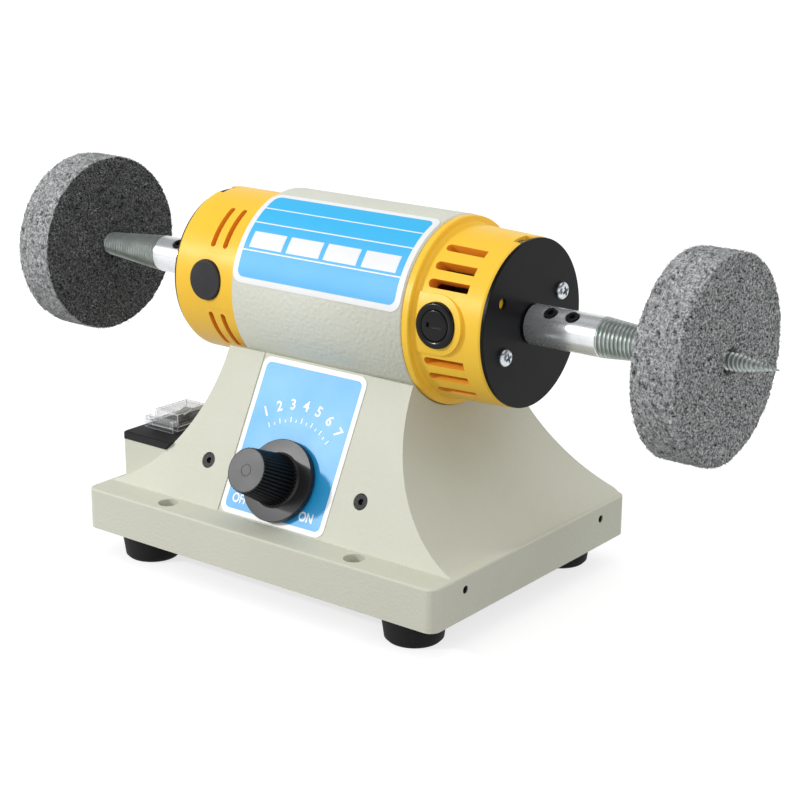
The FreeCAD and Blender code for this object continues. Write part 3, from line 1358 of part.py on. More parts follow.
def flip_cover():
    half = FLAP_X / 2
    low = PLATE_TOP + FRAME_T + FLAP_LIFT
    outline = [
        (-half, FLAP_FRONT, low),
        (-half, FLAP_FRONT, PLATE_TOP + FLAP_FRONT_H),
        (-half, FLAP_BACK, PLATE_TOP + FLAP_BACK_H),
        (-half, FLAP_BACK, low),
    ]
    dome = prism(outline, V(FLAP_X, 0, 0))
    rounded = [e for e in dome.Edges if e.BoundBox.ZMax > low + 1]
    dome = dome.makeFillet(FLAP_EDGE, rounded)
    inner = FLAP_WALL
    hollow = [
        (inner - half, FLAP_FRONT + inner, low - 1),
        (inner - half, FLAP_FRONT + inner, PLATE_TOP + FLAP_FRONT_H - inner),
        (inner - half, FLAP_BACK - inner, PLATE_TOP + FLAP_BACK_H - inner),
        (inner - half, FLAP_BACK - inner, low - 1),
    ]
    dome = dome.cut(prism(hollow, V(FLAP_X - 2 * inner, 0, 0)))
    bar_half = FRAME_X / 2 - LUG_W - HINGE_SIDE_GAP
    pin_half = FRAME_X / 2 - HINGE_SIDE_GAP
    web_low = HINGE_Z - HINGE_WEB_T / 2
    parts = [
        dome,
        box(-bar_half, bar_half, HINGE_Y, FLAP_FRONT + inner / 2, web_low, web_low + HINGE_WEB_T),
        rod(-bar_half, HINGE_Y, HINGE_Z, HINGE_BAR_R, 2 * bar_half, X_AXIS),
        rod(-pin_half, HINGE_Y, HINGE_Z, HINGE_PIN_R, 2 * pin_half, X_AXIS),
    ]
    body = fuse(parts)
    body.translate(V(SW_X, 0, 0))
    return body


def inlet_grommet():
    y0 = BASE_D / 2 - BASE_WALL
    z = FOOT_H + INLET_H
    body = rod(INLET_X, y0, z, INLET_R - INLET_GAP, BASE_WALL + 1, Y_AXIS)
    body = body.fuse(rod(INLET_X, BASE_D / 2, z, INLET_FLANGE_R, INLET_PROUD, Y_AXIS))
    edge = [e for e in body.Edges if abs(e.BoundBox.YMin - BASE_D / 2 - INLET_PROUD) < 0.01]
    body = body.makeFillet(INLET_PROUD / 3, edge)
    return body.cut(rod(INLET_X, y0 - 1, z, INLET_BORE_R, BASE_WALL + INLET_PROUD + 2, Y_AXIS))


NODES = [
    base_casting, bottom_cover, rubber_feet, foot_screws, inlet_grommet,
    motor_body, motor_mount_screws, left_end_bell, right_end_bell, bell_plugs,
    left_end_plate, right_end_plate, end_plate_screws, through_bolts,
    stator_core, field_coils, brush_holders, brush_caps, carbon_brushes, brush_springs,
    bearing_outer_races, bearing_inner_races, bearing_balls,
    motor_shaft, armature_core, armature_windings, commutator, cooling_fan,
    left_spindle, right_spindle, spindle_set_screws, left_wheel, right_wheel,
    front_panel_label, body_label, front_screws, board_standoffs, control_board,
    board_screws, board_capacitor, board_heatsink,
    potentiometer_body, potentiometer_nut, potentiometer_shaft, speed_knob,
    switch_plate, switch_plate_screws, switch_body, switch_terminals, rocker,
    cover_frame, flip_cover,
]


def main():
    os.makedirs("parts", exist_ok=True)
    for make in NODES:
        shape = make()
        shape.exportStep("parts/" + make.__name__ + ".step")
        print(make.__name__, len(shape.Solids), round(shape.Volume, 1), shape.isValid())


main()
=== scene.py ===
import bmesh
import bpy
import json
import random
from math import atan2, cos, degrees, dist, hypot, pi, radians, sin, sqrt, tau
from mathutils import Matrix, Vector, noise

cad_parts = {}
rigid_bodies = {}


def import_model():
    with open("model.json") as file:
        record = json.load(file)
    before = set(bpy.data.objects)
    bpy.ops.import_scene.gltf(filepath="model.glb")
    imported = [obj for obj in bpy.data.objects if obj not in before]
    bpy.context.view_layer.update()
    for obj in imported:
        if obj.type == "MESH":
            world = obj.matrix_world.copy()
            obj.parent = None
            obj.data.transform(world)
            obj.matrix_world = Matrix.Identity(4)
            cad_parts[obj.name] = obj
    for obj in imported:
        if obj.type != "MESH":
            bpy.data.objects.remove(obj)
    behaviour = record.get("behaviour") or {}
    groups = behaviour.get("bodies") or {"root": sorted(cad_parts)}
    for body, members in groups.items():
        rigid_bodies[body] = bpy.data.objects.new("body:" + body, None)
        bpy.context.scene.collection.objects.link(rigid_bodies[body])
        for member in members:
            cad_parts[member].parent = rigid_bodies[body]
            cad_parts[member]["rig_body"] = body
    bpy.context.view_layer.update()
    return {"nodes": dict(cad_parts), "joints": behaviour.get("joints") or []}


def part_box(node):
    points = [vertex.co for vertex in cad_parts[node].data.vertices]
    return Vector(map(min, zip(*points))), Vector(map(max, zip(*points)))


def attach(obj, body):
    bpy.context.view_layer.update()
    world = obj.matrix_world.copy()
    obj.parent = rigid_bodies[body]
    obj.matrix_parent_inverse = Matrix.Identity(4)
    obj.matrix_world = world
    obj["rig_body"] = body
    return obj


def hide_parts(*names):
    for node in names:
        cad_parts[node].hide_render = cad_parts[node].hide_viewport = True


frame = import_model()

# Bench polishing lathe: the finish of its surfaces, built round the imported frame.
# Lengths are millimetres in the frame's own axes. A mesh becomes metres when its piece is made.

MM = 0.001
X_AXIS = Vector((1, 0, 0))
WHITE = (1, 1, 1, 1)
shift = Matrix.Translation

# Camera and light
CAMERA_PLACE = (466.057, -576.449, 296.671)
CAMERA_LENS = 83.64
CAMERA_YAW = 37.535
CAMERA_PITCH = 17.010
CAMERA_ROLL = 0.365
FLOOR_SIZE = 24000.0
FLOOR_TONE = 0.42
FLOOR_LIFT = 0.72
SKY_LOW = 0.56
SKY_TOP = 1.04
SKY_SIDE = 0.22
SKY_BANDS = ((0.44, 1.0), (0.60, 0.2), (0.84, 0.2), (0.93, 1.0))
SOFTBOX = 3.0
SOFTBOX_SPAN = (0.94, 0.985)
KEY_PLACE = (-759.0, -943.0, 605.0)
KEY_SIZE = 75.0
KEY_POWER = 7.0
KEY_AIM = (0, 0, 80)

# Edges and fine details
EDGE = 0.25
FINE_EDGE = 0.08
HARD_ANGLE = 50.0
SMOOTH_ANGLE = 38.0
CAST_SMOOTH = 32.0
FLAT = 0.99999
ROUND_SHARE = 0.6
PRINT_T = 0.03
PRINT_BOLD = 0.02
WRAP_STEP = 1.4

# Tapered screw spindles
SLEEVE_EDGE = 0.5
THREAD_START = 115.4
THREAD_KNEE = 173.4
THREAD_KNEE_R = 3.0
TIP_R = 0.25
THREAD_PITCH = 1.7
THREAD_DEPTH = 0.75
THREAD_STEPS = 40
THREAD_SHAPE = ((0, 0), (0.12, 0), (0.44, 1.0), (0.56, 1.0), (0.88, 0), (1, 0))
THREAD_DRUM_R = 10.0
SET_SCREW_XS = (93.1, 103.0)
SET_SCREW_ANGLE = 58.0
SET_HOLE_R = 2.6
SET_CHAMFER = 0.55
BORE_R = 4.02
BORE_END = 110.0

# Non-woven wheels
WHEEL_BORE_R = 5.2
WHEEL_ROUND = 1.2
WHEEL_SKIN = 0.7
WHEEL_STEP = 0.56
WHEEL_TURNS = 450
FIBRE_COUNT = 10000
FIBRE_R = 0.07
FIBRE_SEED = 11
FIBRE_RIM_SHARE = 0.5
FIBRE_ROOT = 0.25
FIBRE_LENGTH = (0.4, 1.1)
FIBRE_LIFT = (0.2, 0.8)
MAT_TONES = ((0.33, 28), (0.43, 84), (0.52, 155), (0.62, 205), (0.74, 238))

# Knob
SKIRT_R = 17.0
SKIRT_FROM = 0.5
SKIRT_TO = 3.3
GRIP_FOOT_R = 10.8
GRIP_TOP_R = 9.25
GRIP_FOOT = 4.3
GRIP_TOP = 23.6
FLUTES = 40
FLUTE_POINTS = 8
FLUTE_DEPTH = 0.75
CAP_RING_R = 2.3
KNOB_HOLLOW_R = 7.6
KNOB_HOLLOW_H = 4.1

# Front label, from the knob's axis: U across, V up the slope
LABEL_W = 54.5
LABEL_LOW = -17.8
LABEL_HIGH = 48.8
LABEL_FACE = -0.05
LABEL_T = 0.35
LABEL_BORDER = 2.2
LABEL_ROUND = 4.0
LABEL_BLUE_ROUND = 2.4
LABEL_HOLE_R = 7.6
DIAL_R = 31.8
DIAL_FROM = 125.0
DIAL_TO = 50.5
DIAL_NUMBERS = 7
DIAL_SIZE = 6.0
TICK_R = 24.6
TICK_W = 0.44
TICK_LENGTHS = (2.2, 1.2)
WORD_SIZE = 5.4
WORD_NARROW = 0.85
WORD_PLACES = (("OFF", -18.2, -11.2), ("ON", 17.0, -11.3))

# Body label round the tube, as angles above the level of the axis
BODY_LABEL_X = (-39.9, 46.3)
BODY_LABEL_ANGLES = (8.5, 76.0)
BODY_BLUE_X = (-37.3, 43.7)
BODY_BLUE_ANGLES = (12.2, 72.4)
BODY_LABEL_T = 0.27
BODY_LABEL_ROUND = 4.5
BODY_BLUE_ROUND = 3.0
SEPARATOR_ANGLES = (59.8, 47.9, 28.9)
SEPARATOR_W = 0.55
BOX_ANGLES = (30.8, 41.5)
BOX_XS = ((-34.5, -17.4), (-14.9, 2.0), (4.4, 21.0), (23.7, 40.7))

# Pan-head screws
PAN_R = 3.65
PAN_H = 2.4
PAN_RIM = 0.5
PAN_STEPS = 7
PAN_SHANK_R = 1.9
PAN_SHANK_L = 7.0
PAN_CROSS_W = 1.15
PAN_CROSS_L = 2.5
PAN_CROSS_D = 1.9
PAN_CROSS_TAPER = 0.45
PAN_CROSS_TURN = 20
PAN_PCR = 21.5
PAN_ANGLES = (-26.3, 153.7)

# End bells: the brush line, and where the walls of the cooling slots are, which get a painted shade
CLOCK = 4.6
SHADED_SLOT_ANGLES = (20.5, 61.0)
SHADED_SLOT_BANDS = {"left": (-60.0, -48.0), "right": (52.0, 74.0)}

# Brush collars and their screw caps, as heights above the motor axis
BRUSH_X = 61.6
BRUSH_TOP = 36.3
COLLAR_R = 9.0
COLLAR_T = 2.4
HOLDER_R = 7.2
HOLDER_BORE_R = 4.2
HOLDER_END = 14.0
CAP_R = 6.1
CAP_T = 2.0
CAP_GAP = 0.15
CAP_STEM_R = 4.05
CAP_STEM_L = 3.8
CAP_SLOT_L = 7.2
CAP_SLOT_W = 1.8
CAP_SLOT_D = 0.9

# Threaded inserts in the side holes of the base
INSERT_Y = 48.0
INSERT_Z = 24.3
INSERT_R = 1.62
INSERT_BORE_R = 1.05
INSERT_SINK = 0.35
INSERT_L = 4.5
INSERT_CHAMFER = 0.3

# Clear flip cover
DOME_X = 14.6
DOME_FRONT = -33.0
DOME_BACK = -12.4
DOME_FRONT_TOP = 57.6
DOME_BACK_TOP = 57.3
DOME_LOW = 52.5
DOME_WALL = 0.8
DOME_ROUND = 1.5
HIGHLIGHT_EDGE_TURN = 0.8
HINGE_BAR_R = 1.1
HINGE_WEB_T = 1.2
HINGE_GAP = 0.25
LUG_W = 1.9

# Printed line of the rocker: across, along, height over its pivot, thickness and tilt
MARK_SIDES = (-0.35, 0.35, 1.8, 6.6)
MARK_Z = 2.32
MARK_T = 0.05
MARK_TILT = 17.0


def joint(name):
    """Place and axis of a joint."""
    row = next(j for j in frame["joints"] if j["name"] == name)
    return Vector(row["pos_m"]) / MM, Vector(row["axis"])


def node_box(name):
    low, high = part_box(name)
    return low / MM, high / MM


def middle(name):
    low, high = node_box(name)
    return (low + high) / 2


AXIS = middle("right_end_plate")
TUBE_R = node_box("motor_body")[1].z - AXIS.z
WHEEL_R = node_box("right_wheel")[1].z - AXIS.z
WHEEL_X = (node_box("right_wheel")[0].x, node_box("right_wheel")[1].x)
SLEEVE_START = node_box("right_spindle")[0].x
SPINDLE_TIP = node_box("right_spindle")[1].x
SLEEVE_R = node_box("right_spindle")[1].z - AXIS.z
PLATE_RIGHT = node_box("right_end_plate")[1].x
PLATE_LEFT = node_box("left_end_plate")[0].x
SWITCH_X = middle("switch_body").x


def axis_point(x, r, angle):
    """Point at radius r and at an angle above the level of the motor axis, on the front side."""
    a = radians(angle)
    return Vector((x, AXIS.y - r * cos(a), AXIS.z + r * sin(a)))


def on_side(sign):
    """Place of a part turned round X: 1 on the right of the motor, -1 mirrored on the left."""
    return shift((0, AXIS.y, AXIS.z)) @ Matrix.Scale(sign, 4, X_AXIS)


def turned(angle, axis):
    return Matrix.Rotation(radians(angle), 4, axis)


def out_frame(foot, out):
    """Local X stays along the motor, local Z points along out, from foot."""
    return shift(foot) @ Matrix((X_AXIS, out.cross(X_AXIS), out)).transposed().to_4x4()


def radial_frame(x, angle):
    """Frame that points straight out of the motor axis at an angle."""
    return out_frame(axis_point(x, 0, 0), axis_point(0, 1, angle) - axis_point(0, 0, angle))


def panel_frame():
    """Frame on the knob's axis: X across the front panel, Y up its slope, Z out of it."""
    foot, inward = joint("knob_turn")
    return out_frame(foot, -inward)


# Shader building

def colour(r, g, b):
    """A colour as it looks on a screen, 0 to 255, for a shader socket."""
    out = []
    for value in (r, g, b):
        c = value / 255
        out.append(c / 12.92 if c <= 0.04045 else ((c + 0.055) / 1.055) ** 2.4)
    return (*out, 1.0)


def fill(tree, made, inputs):
    """Link sockets to a node's inputs and set its constants."""
    for key, value in dict(inputs).items():
        if isinstance(value, bpy.types.NodeSocket):
            tree.links.new(value, made.inputs[key])
        else:
            made.inputs[key].default_value = value
    return made


def add(tree, kind, inputs=(), **settings):
    made = tree.nodes.new(kind)
    for key, value in settings.items():
        setattr(made, key, value)
    return fill(tree, made, inputs)


def mixed(tree, factor, a, b):
    return add(tree, "ShaderNodeMix", {0: factor, 6: a, 7: b}, data_type="RGBA").outputs[2]


def ramped(tree, value, tones):
    ramp = add(tree, "ShaderNodeValToRGB", {"Fac": value})
    while len(ramp.color_ramp.elements) < len(tones):
        ramp.color_ramp.elements.new(0.5)
    for element, (place, tone) in zip(ramp.color_ramp.elements, tones):
        element.position = place
        element.color = tone
    return ramp.outputs["Color"]


def ranged(tree, value, low, high, out_low=0.0, out_high=1.0):
    inputs = {"Value": value, "From Min": low, "From Max": high, "To Min": out_low, "To Max": out_high}
    return add(tree, "ShaderNodeMapRange", inputs).outputs["Result"]


def maths(tree, operation, a, b):
    return add(tree, "ShaderNodeMath", {0: a, 1: b}, operation=operation).outputs[0]


def object_place(tree, scale=(1, 1, 1)):
    place = add(tree, "ShaderNodeTexCoord").outputs["Object"]
    return add(tree, "ShaderNodeMapping", {"Vector": place, "Scale": scale}).outputs["Vector"]


def noise_value(tree, place, scale, detail=2.0, roughness=0.5):
    inputs = {"Vector": place, "Scale": scale, "Detail": detail, "Roughness": roughness}
    return add(tree, "ShaderNodeTexNoise", inputs).outputs["Fac"]


def new_group(name, inputs, outputs):
    """A node group. Tuples among its inputs and the output Color are colours, the rest numbers."""
    tree = bpy.data.node_groups.new(name, "ShaderNodeTree")
    for label, value in inputs.items():
        kind = "NodeSocketColor" if isinstance(value, tuple) else "NodeSocketFloat"
        tree.interface.new_socket(name=label, in_out="INPUT", socket_type=kind).default_value = value
    for label in outputs:
        kind = "NodeSocketColor" if label == "Color" else "NodeSocketFloat"
        tree.interface.new_socket(name=label, in_out="OUTPUT", socket_type=kind)
    return tree, tree.nodes.new("NodeGroupInput").outputs, tree.nodes.new("NodeGroupOutput")


def tone_group():
    """Colour that drifts between two tones in soft patches, with a few fine specks."""
    inputs = {"Light": WHITE, "Deep": WHITE, "Scale": 30.0, "Speck": 0.1}
    tree, given, out = new_group("tone_drift", inputs, ["Color"])
    place = object_place(tree)
    patches = ranged(tree, noise_value(tree, place, given["Scale"], 3.0), 0.3, 0.7)
    drift = mixed(tree, patches, given["Light"], given["Deep"])
    specks = ranged(tree, noise_value(tree, place, 1500.0, 1.0), 0.66, 0.74)
    amount = maths(tree, "MULTIPLY", specks, given["Speck"])
    fill(tree, out, {"Color": mixed(tree, amount, drift, given["Deep"])})
    return tree


def grain_group():
    """Surface height of a coat or a moulded skin, and the roughness that goes with it."""
    inputs = {"Scale": 900.0, "Roughness": 0.4, "Spread": 0.06}
    tree, given, out = new_group("surface_grain", inputs, ["Height", "Roughness"])
    place = object_place(tree)
    cells = noise_value(tree, place, given["Scale"], 1.0, 0.4)
    broad = maths(tree, "SUBTRACT", noise_value(tree, place, 55.0, 3.0), 0.5)
    swing = maths(tree, "MULTIPLY", maths(tree, "MULTIPLY", broad, given["Spread"]), 4.0)
    fill(tree, out, {"Height": cells, "Roughness": maths(tree, "ADD", given["Roughness"], swing)})
    return tree


def plating_group():
    """Zinc plating: cloudy spangle, turning marks round the motor axis and small dull spots."""
    inputs = {"Bright": WHITE, "Dull": WHITE, "Roughness": 0.2}
    tree, given, out = new_group("zinc_plating", inputs, ["Color", "Roughness", "Height"])
    place = object_place(tree)
    cloud = ranged(tree, noise_value(tree, place, 240.0, 4.0, 0.65), 0.35, 0.7)
    spots = ranged(tree, noise_value(tree, place, 1300.0, 2.0, 0.6), 0.58, 0.74, 0.0, 0.6)
    marks = noise_value(tree, object_place(tree, (30, 1, 1)), 90.0, 2.0)
    dulled = maths(tree, "MAXIMUM", maths(tree, "MULTIPLY", cloud, 0.5), spots)
    rougher = maths(tree, "MULTIPLY", dulled, 0.16)
    fill(tree, out, {
        "Color": mixed(tree, dulled, given["Bright"], given["Dull"]),
        "Roughness": maths(tree, "ADD", given["Roughness"], rougher),
        "Height": maths(tree, "ADD", marks, spots),
    })
    return tree


def mat_group():
    """Bonded fibre mat: light strands over pores darkened by their depth, a painted shade. Layers is 1 where
    the plies show, and there the grey is lifted a little, a painted light on the rim.
    """
    tree, given, out = new_group("fibre_mat", {"Layers": 0.0, "Pore": 0.0}, ["Shade", "Height"])
    place = object_place(tree)
    even = noise_value(tree, place, 1150.0, 3.0, 0.7)
    rim = add(tree, "ShaderNodeUVMap", uv_map="round_rim").outputs["UV"]
    drawn = add(tree, "ShaderNodeMapping", {"Vector": rim, "Scale": (0.4, 1, 1)}).outputs["Vector"]
    plies = noise_value(tree, drawn, 1000.0, 3.0, 0.7)
    web = add(tree, "ShaderNodeMix", {0: given["Layers"], 2: even, 3: plies}).outputs[0]
    strands = add(tree, "ShaderNodeTexVoronoi", {"Vector": place, "Scale": 1100.0},
                  feature="DISTANCE_TO_EDGE").outputs["Distance"]
    raised = maths(tree, "ADD", web, ranged(tree, strands, 0.0, 0.16, 0.10, 0.0))
    # Where the plies show the grey is lifted, painted light for the rim that faces the light above; below,
    # the pores are darkened by their depth, painted shade.
    rim_painted_light = maths(tree, "ADD", raised, maths(tree, "MULTIPLY", given["Layers"], 0.045))
    shade = maths(tree, "SUBTRACT", rim_painted_light, maths(tree, "MULTIPLY", given["Pore"], 0.16))
    fill(tree, out, {"Shade": shade, "Height": raised})
    return tree


TONE = tone_group()
GRAIN = grain_group()
PLATING = plating_group()
FIBRE_MAT = mat_group()


def new_material(name):
    material = bpy.data.materials.new(name)
    material.use_nodes = True
    tree = material.node_tree
    return material, tree, tree.nodes["Principled BSDF"]


def use_group(tree, group, inputs):
    return add(tree, "ShaderNodeGroup", inputs, node_tree=group).outputs


def bumped(tree, height, distance):
    return add(tree, "ShaderNodeBump", {"Height": height, "Distance": distance * MM}).outputs["Normal"]


def coated(name, light, deep, roughness, grain=900.0, height=0.05, patch=30.0, speck=0.1, specular=0.5):
    """A painted, moulded or rubber surface: two drifting tones and a fine grain."""
    material, tree, shader = new_material(name)
    tones = {"Light": colour(*light), "Deep": colour(*deep), "Scale": patch, "Speck": speck}
    skin = use_group(tree, GRAIN, {"Scale": grain, "Roughness": roughness, "Spread": 0.04})
    fill(tree, shader, {
        "Base Color": use_group(tree, TONE, tones)["Color"], "Roughness": skin["Roughness"],
        "Normal": bumped(tree, skin["Height"], height), "Specular IOR Level": specular,
    })
    return material


def plated(name, bright, dull, roughness, metallic=1.0, height=0.02):
    material, tree, shader = new_material(name)
    inputs = {"Bright": colour(*bright), "Dull": colour(*dull), "Roughness": roughness}
    skin = use_group(tree, PLATING, inputs)
    fill(tree, shader, {
        "Base Color": skin["Color"], "Roughness": skin["Roughness"],
        "Normal": bumped(tree, skin["Height"], height), "Metallic": metallic,
    })
    return material


def mat_material(name, lift):
    """Non-woven abrasive: grey nylon fibre with open pores, darkened by their depth as painted shade."""
    material, tree, shader = new_material(name)
    layers = add(tree, "ShaderNodeAttribute", attribute_name="layers").outputs["Fac"]
    pore = add(tree, "ShaderNodeAttribute", attribute_name="pore").outputs["Fac"]
    skin = use_group(tree, FIBRE_MAT, {"Layers": layers, "Pore": pore})
    tones = [(at, colour(grey * lift, (grey + 1) * lift, (grey + 2) * lift)) for at, grey in MAT_TONES]
    fill(tree, shader, {
        "Base Color": ramped(tree, skin["Shade"], tones), "Roughness": 0.85,
        "Normal": bumped(tree, skin["Height"], 0.9), "Specular IOR Level": 0.2,
    })
    return material


def film_material(name, top, low, node, drop, rise, roughness):
    """Printed label film: its colour eases from top to low, with a faint print grain."""
    material, tree, shader = new_material(name)
    bottom, peak = node_box(node)
    place = add(tree, "ShaderNodeTexCoord").outputs["Object"]
    height = add(tree, "ShaderNodeSeparateXYZ", {"Vector": place}).outputs["Z"]
    grain = maths(tree, "SUBTRACT", noise_value(tree, place, 140.0, 3.0), 0.5)
    waver = maths(tree, "ADD", height, maths(tree, "MULTIPLY", grain, 0.006))
    share = ranged(tree, waver, (bottom.z + rise) * MM, (peak.z - drop) * MM)
    skin = use_group(tree, GRAIN, {"Scale": 500.0, "Roughness": roughness, "Spread": 0.02})
    fill(tree, shader, {
        "Base Color": mixed(tree, share, colour(*low), colour(*top)), "Roughness": skin["Roughness"],
        "Normal": bumped(tree, skin["Height"], 0.01),
    })
    return material


def clear_material(name, light, deep, alpha_front, alpha_side):
    """Clear moulded plastic: see-through from the front, a denser light grey where it turns away from view,
    which is a painted reflection.
    """
    material, tree, shader = new_material(name)
    marks = noise_value(tree, object_place(tree, (1, 6, 1)), 420.0, 3.0)
    cloud = noise_value(tree, object_place(tree), 60.0)
    facing = add(tree, "ShaderNodeLayerWeight", {"Blend": 0.5}).outputs["Facing"]
    fill(tree, shader, {
        "Base Color": mixed(tree, cloud, colour(*light), colour(*deep)), "IOR": 1.49,
        "Roughness": ranged(tree, marks, 0.3, 0.8, 0.04, 0.12),
        "Alpha": ranged(tree, facing, 0.3, 0.95, alpha_front, alpha_side),
    })
    return material


# Light and deep tone, roughness, grain scale and height, patch scale, specks, specular level
PAINTS = {
    "cast_cream": ((213, 214, 199), (207, 208, 192), 0.56, 850.0, 0.15, 18.0, 0.25, 0.3),
    "tube_cream": ((219, 221, 209), (212, 214, 200), 0.46, 620.0, 0.35, 22.0, 0.25, 0.35),
    "bell_yellow": ((255, 208, 66), (252, 200, 56), 0.38, 1300.0, 0.02, 25.0, 0.2, 0.3),
    # The bells' slot-wall finish is painted shade: a deeper orange for the shade and yellow bounce light
    # inside the cooling slots
    "bell_shade": ((255, 176, 52), (246, 162, 42), 0.5, 1300.0, 0.02),
    "cover_grey": ((120, 122, 122), (104, 106, 106), 0.5, 900.0, 0.03),
    "knob_face": ((38, 38, 40), (32, 32, 34), 0.42, 1600.0, 0.02, 80.0, 0.1, 0.43),
    "knob_skirt": ((34, 34, 36), (28, 28, 30), 0.32, 1600.0, 0.01, 80.0, 0.1, 0.36),
    "plate_black": ((20, 20, 23), (15, 15, 17), 0.36, 1500.0, 0.015, 40.0, 0.5, 0.1),
    "screw_black": ((38, 38, 40), (26, 26, 28), 0.4, 1800.0, 0.03, 300.0, 0.1, 0.12),
    "board_green": ((46, 104, 62), (36, 88, 52), 0.4, 900.0, 0.01, 120.0),
    "label_white": ((244, 245, 246), (238, 240, 241), 0.4, 500.0, 0.01, 40.0, 0.0),
    "fibre_light": ((196, 198, 200), (120, 122, 124), 0.7, 1500.0, 0.01, 160.0, 0.4),
}

DARK_COATS = {
    "black_plastic": ((28, 28, 30), (21, 21, 23), 0.42, 1400.0, 0.03, 60.0),
    "gloss_black": ((16, 16, 17), (11, 11, 12), 0.2, 900.0, 0.01, 60.0),
    "plug_black": ((50, 50, 52), (40, 40, 42), 0.45, 1500.0, 0.03, 90.0),
    "knob_flute": ((18, 18, 19), (12, 12, 13), 0.34, 1500.0, 0.02, 80.0),
    "rubber_black": ((31, 31, 31), (24, 24, 24), 0.72, 1200.0, 0.06, 90.0, 0.3),
    "carbon": ((42, 42, 44), (30, 30, 32), 0.6, 2200.0, 0.02, 300.0),
    "fan_plastic": ((62, 62, 64), (48, 48, 50), 0.5, 1200.0, 0.03),
}

# Bright and dull tone, roughness, metallic, height of the turning marks
METALS = {
    "zinc_bright": ((234, 236, 238), (206, 210, 214), 0.22, 0.7, 0.004),
    "thread_zinc": ((186, 194, 190), (112, 120, 117), 0.28, 0.8),
    "screw_zinc": ((222, 228, 232), (160, 168, 176), 0.18),
    "shaft_steel": ((205, 206, 208), (170, 172, 175), 0.2),
    "core_steel": ((130, 130, 132), (96, 96, 98), 0.45),
    "copper": ((214, 128, 82), (160, 88, 52), 0.3),
    "brass": ((222, 188, 104), (176, 142, 70), 0.28),
    "aluminium": ((214, 216, 218), (176, 178, 182), 0.32),
}

# Lift of the mat's greys. The darker lift is painted shade, for the left wheel's inner face in the shade of
# the motor
MATS = {"nonwoven": (1.0,), "nonwoven_painted_shade": (0.54,)}

# Light and deep tone, alpha from the front and along the edges. The denser grey along the edges is painted
# reflection, and the near-white edge finish is a painted highlight
CLEARS = {
    "clear_plastic": ((206, 209, 212), (190, 193, 196), 0.09, 0.55),
    "clear_edge_painted_highlight": ((240, 242, 244), (226, 229, 232), 0.55, 0.85),
}

# Top and low tone, the node under the film, how far inside its height the tones end, roughness
FILMS = {
    "body_blue": ((50, 186, 242), (92, 186, 243), "body_label", 5.0, 12.0, 0.5),
    "panel_blue": ((36, 161, 222), (30, 157, 219), "front_panel_label", 0.0, 0.0, 0.38),
}


def dark_coat(name, *values):
    return coated(name, *values, specular=0.2)


def build_materials():
    kinds = (
        (PAINTS, coated), (DARK_COATS, dark_coat), (METALS, plated), (MATS, mat_material),
        (CLEARS, clear_material), (FILMS, film_material),
    )
    made = {}
    for table, make in kinds:
        for name, values in table.items():
            made[name] = make(name, *values)
    return made


FINISH = build_materials()

# The finish of each node of the frame, where it differs from its own slot's name
SLOT_FINISH = {"label_film": "label_white"}


def dress_frame():
    """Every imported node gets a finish, also those inside the housings."""
    for name, obj in frame["nodes"].items():
        for slot in obj.material_slots:
            base = slot.material.name.split(".")[0]
            slot.material = FINISH[SLOT_FINISH.get(base, base)]


# Mesh building

def placed(name, data):
    obj = bpy.data.objects.new(name, data)
    bpy.context.scene.collection.objects.link(obj)
    return obj


def as_object(name, bm):
    mesh = bpy.data.meshes.new(name)
    bm.to_mesh(mesh)
    bm.free()
    return placed(name, mesh)


def taken_out(obj):
    """The finished mesh of a working object, which is then removed."""
    bpy.context.view_layer.update()
    graph = bpy.context.evaluated_depsgraph_get()
    bm = bmesh.new()
    bm.from_mesh(bpy.data.meshes.new_from_object(obj.evaluated_get(graph)))
    bpy.data.objects.remove(obj)
    return bm


def piece(name, bm, body, finishes, stands_for=(), smooth=SMOOTH_ANGLE):
    """Turn a mesh in millimetres into a piece in metres that rides on a body."""
    bmesh.ops.scale(bm, vec=(MM, MM, MM), verts=bm.verts)
    obj = as_object(name, bm)
    for finish in finishes:
        obj.data.materials.append(FINISH[finish])
    obj.data.shade_smooth()
    obj.data.set_sharp_from_angle(angle=radians(smooth))
    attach(obj, body)
    if stands_for:
        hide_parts(*stands_for)
    return obj


def node_mesh(name):
    """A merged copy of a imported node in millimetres, with its flat faces made whole."""
    bm = bmesh.new()
    bm.from_mesh(frame["nodes"][name].data)
    bmesh.ops.scale(bm, vec=(1 / MM, 1 / MM, 1 / MM), verts=bm.verts)
    bmesh.ops.remove_doubles(bm, verts=bm.verts, dist=0.001)
    bmesh.ops.dissolve_limit(bm, angle_limit=radians(0.4), verts=bm.verts, edges=bm.edges)
    return bm


def soften(obj, width):
    """Live bevel on the hard edges."""
    bevel = obj.modifiers.new("soft_edges", "BEVEL")
    bevel.width = width * MM
    bevel.segments = 2
    bevel.limit_method = "ANGLE"
    bevel.angle_limit = radians(HARD_ANGLE)
    bevel.use_clamp_overlap = False
    bevel.harden_normals = True
    return obj


def finished(node, name, finish, width=EDGE):
    """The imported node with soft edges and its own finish."""
    body = frame["nodes"][node]["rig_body"]
    return soften(piece(name, node_mesh(node), body, [finish], [node]), width)


def outward(bm):
    """The same mesh with its faces pointing outwards."""
    bmesh.ops.recalc_face_normals(bm, faces=bm.faces)
    return bm


def spun(outline, steps):
    """Turn a closed outline of (x, r) points round the X axis."""
    bm = bmesh.new()
    points = [bm.verts.new((x, 0, r)) for x, r in outline]
    lines = [bm.edges.new(pair) for pair in zip(points, points[1:] + points[:1])]
    bmesh.ops.spin(bm, geom=points + lines, cent=(0, 0, 0), axis=X_AXIS, dvec=(0, 0, 0),
                   angle=tau, steps=steps, use_merge=True)
    bmesh.ops.remove_doubles(bm, verts=bm.verts, dist=0.0005)
    return outward(bm)


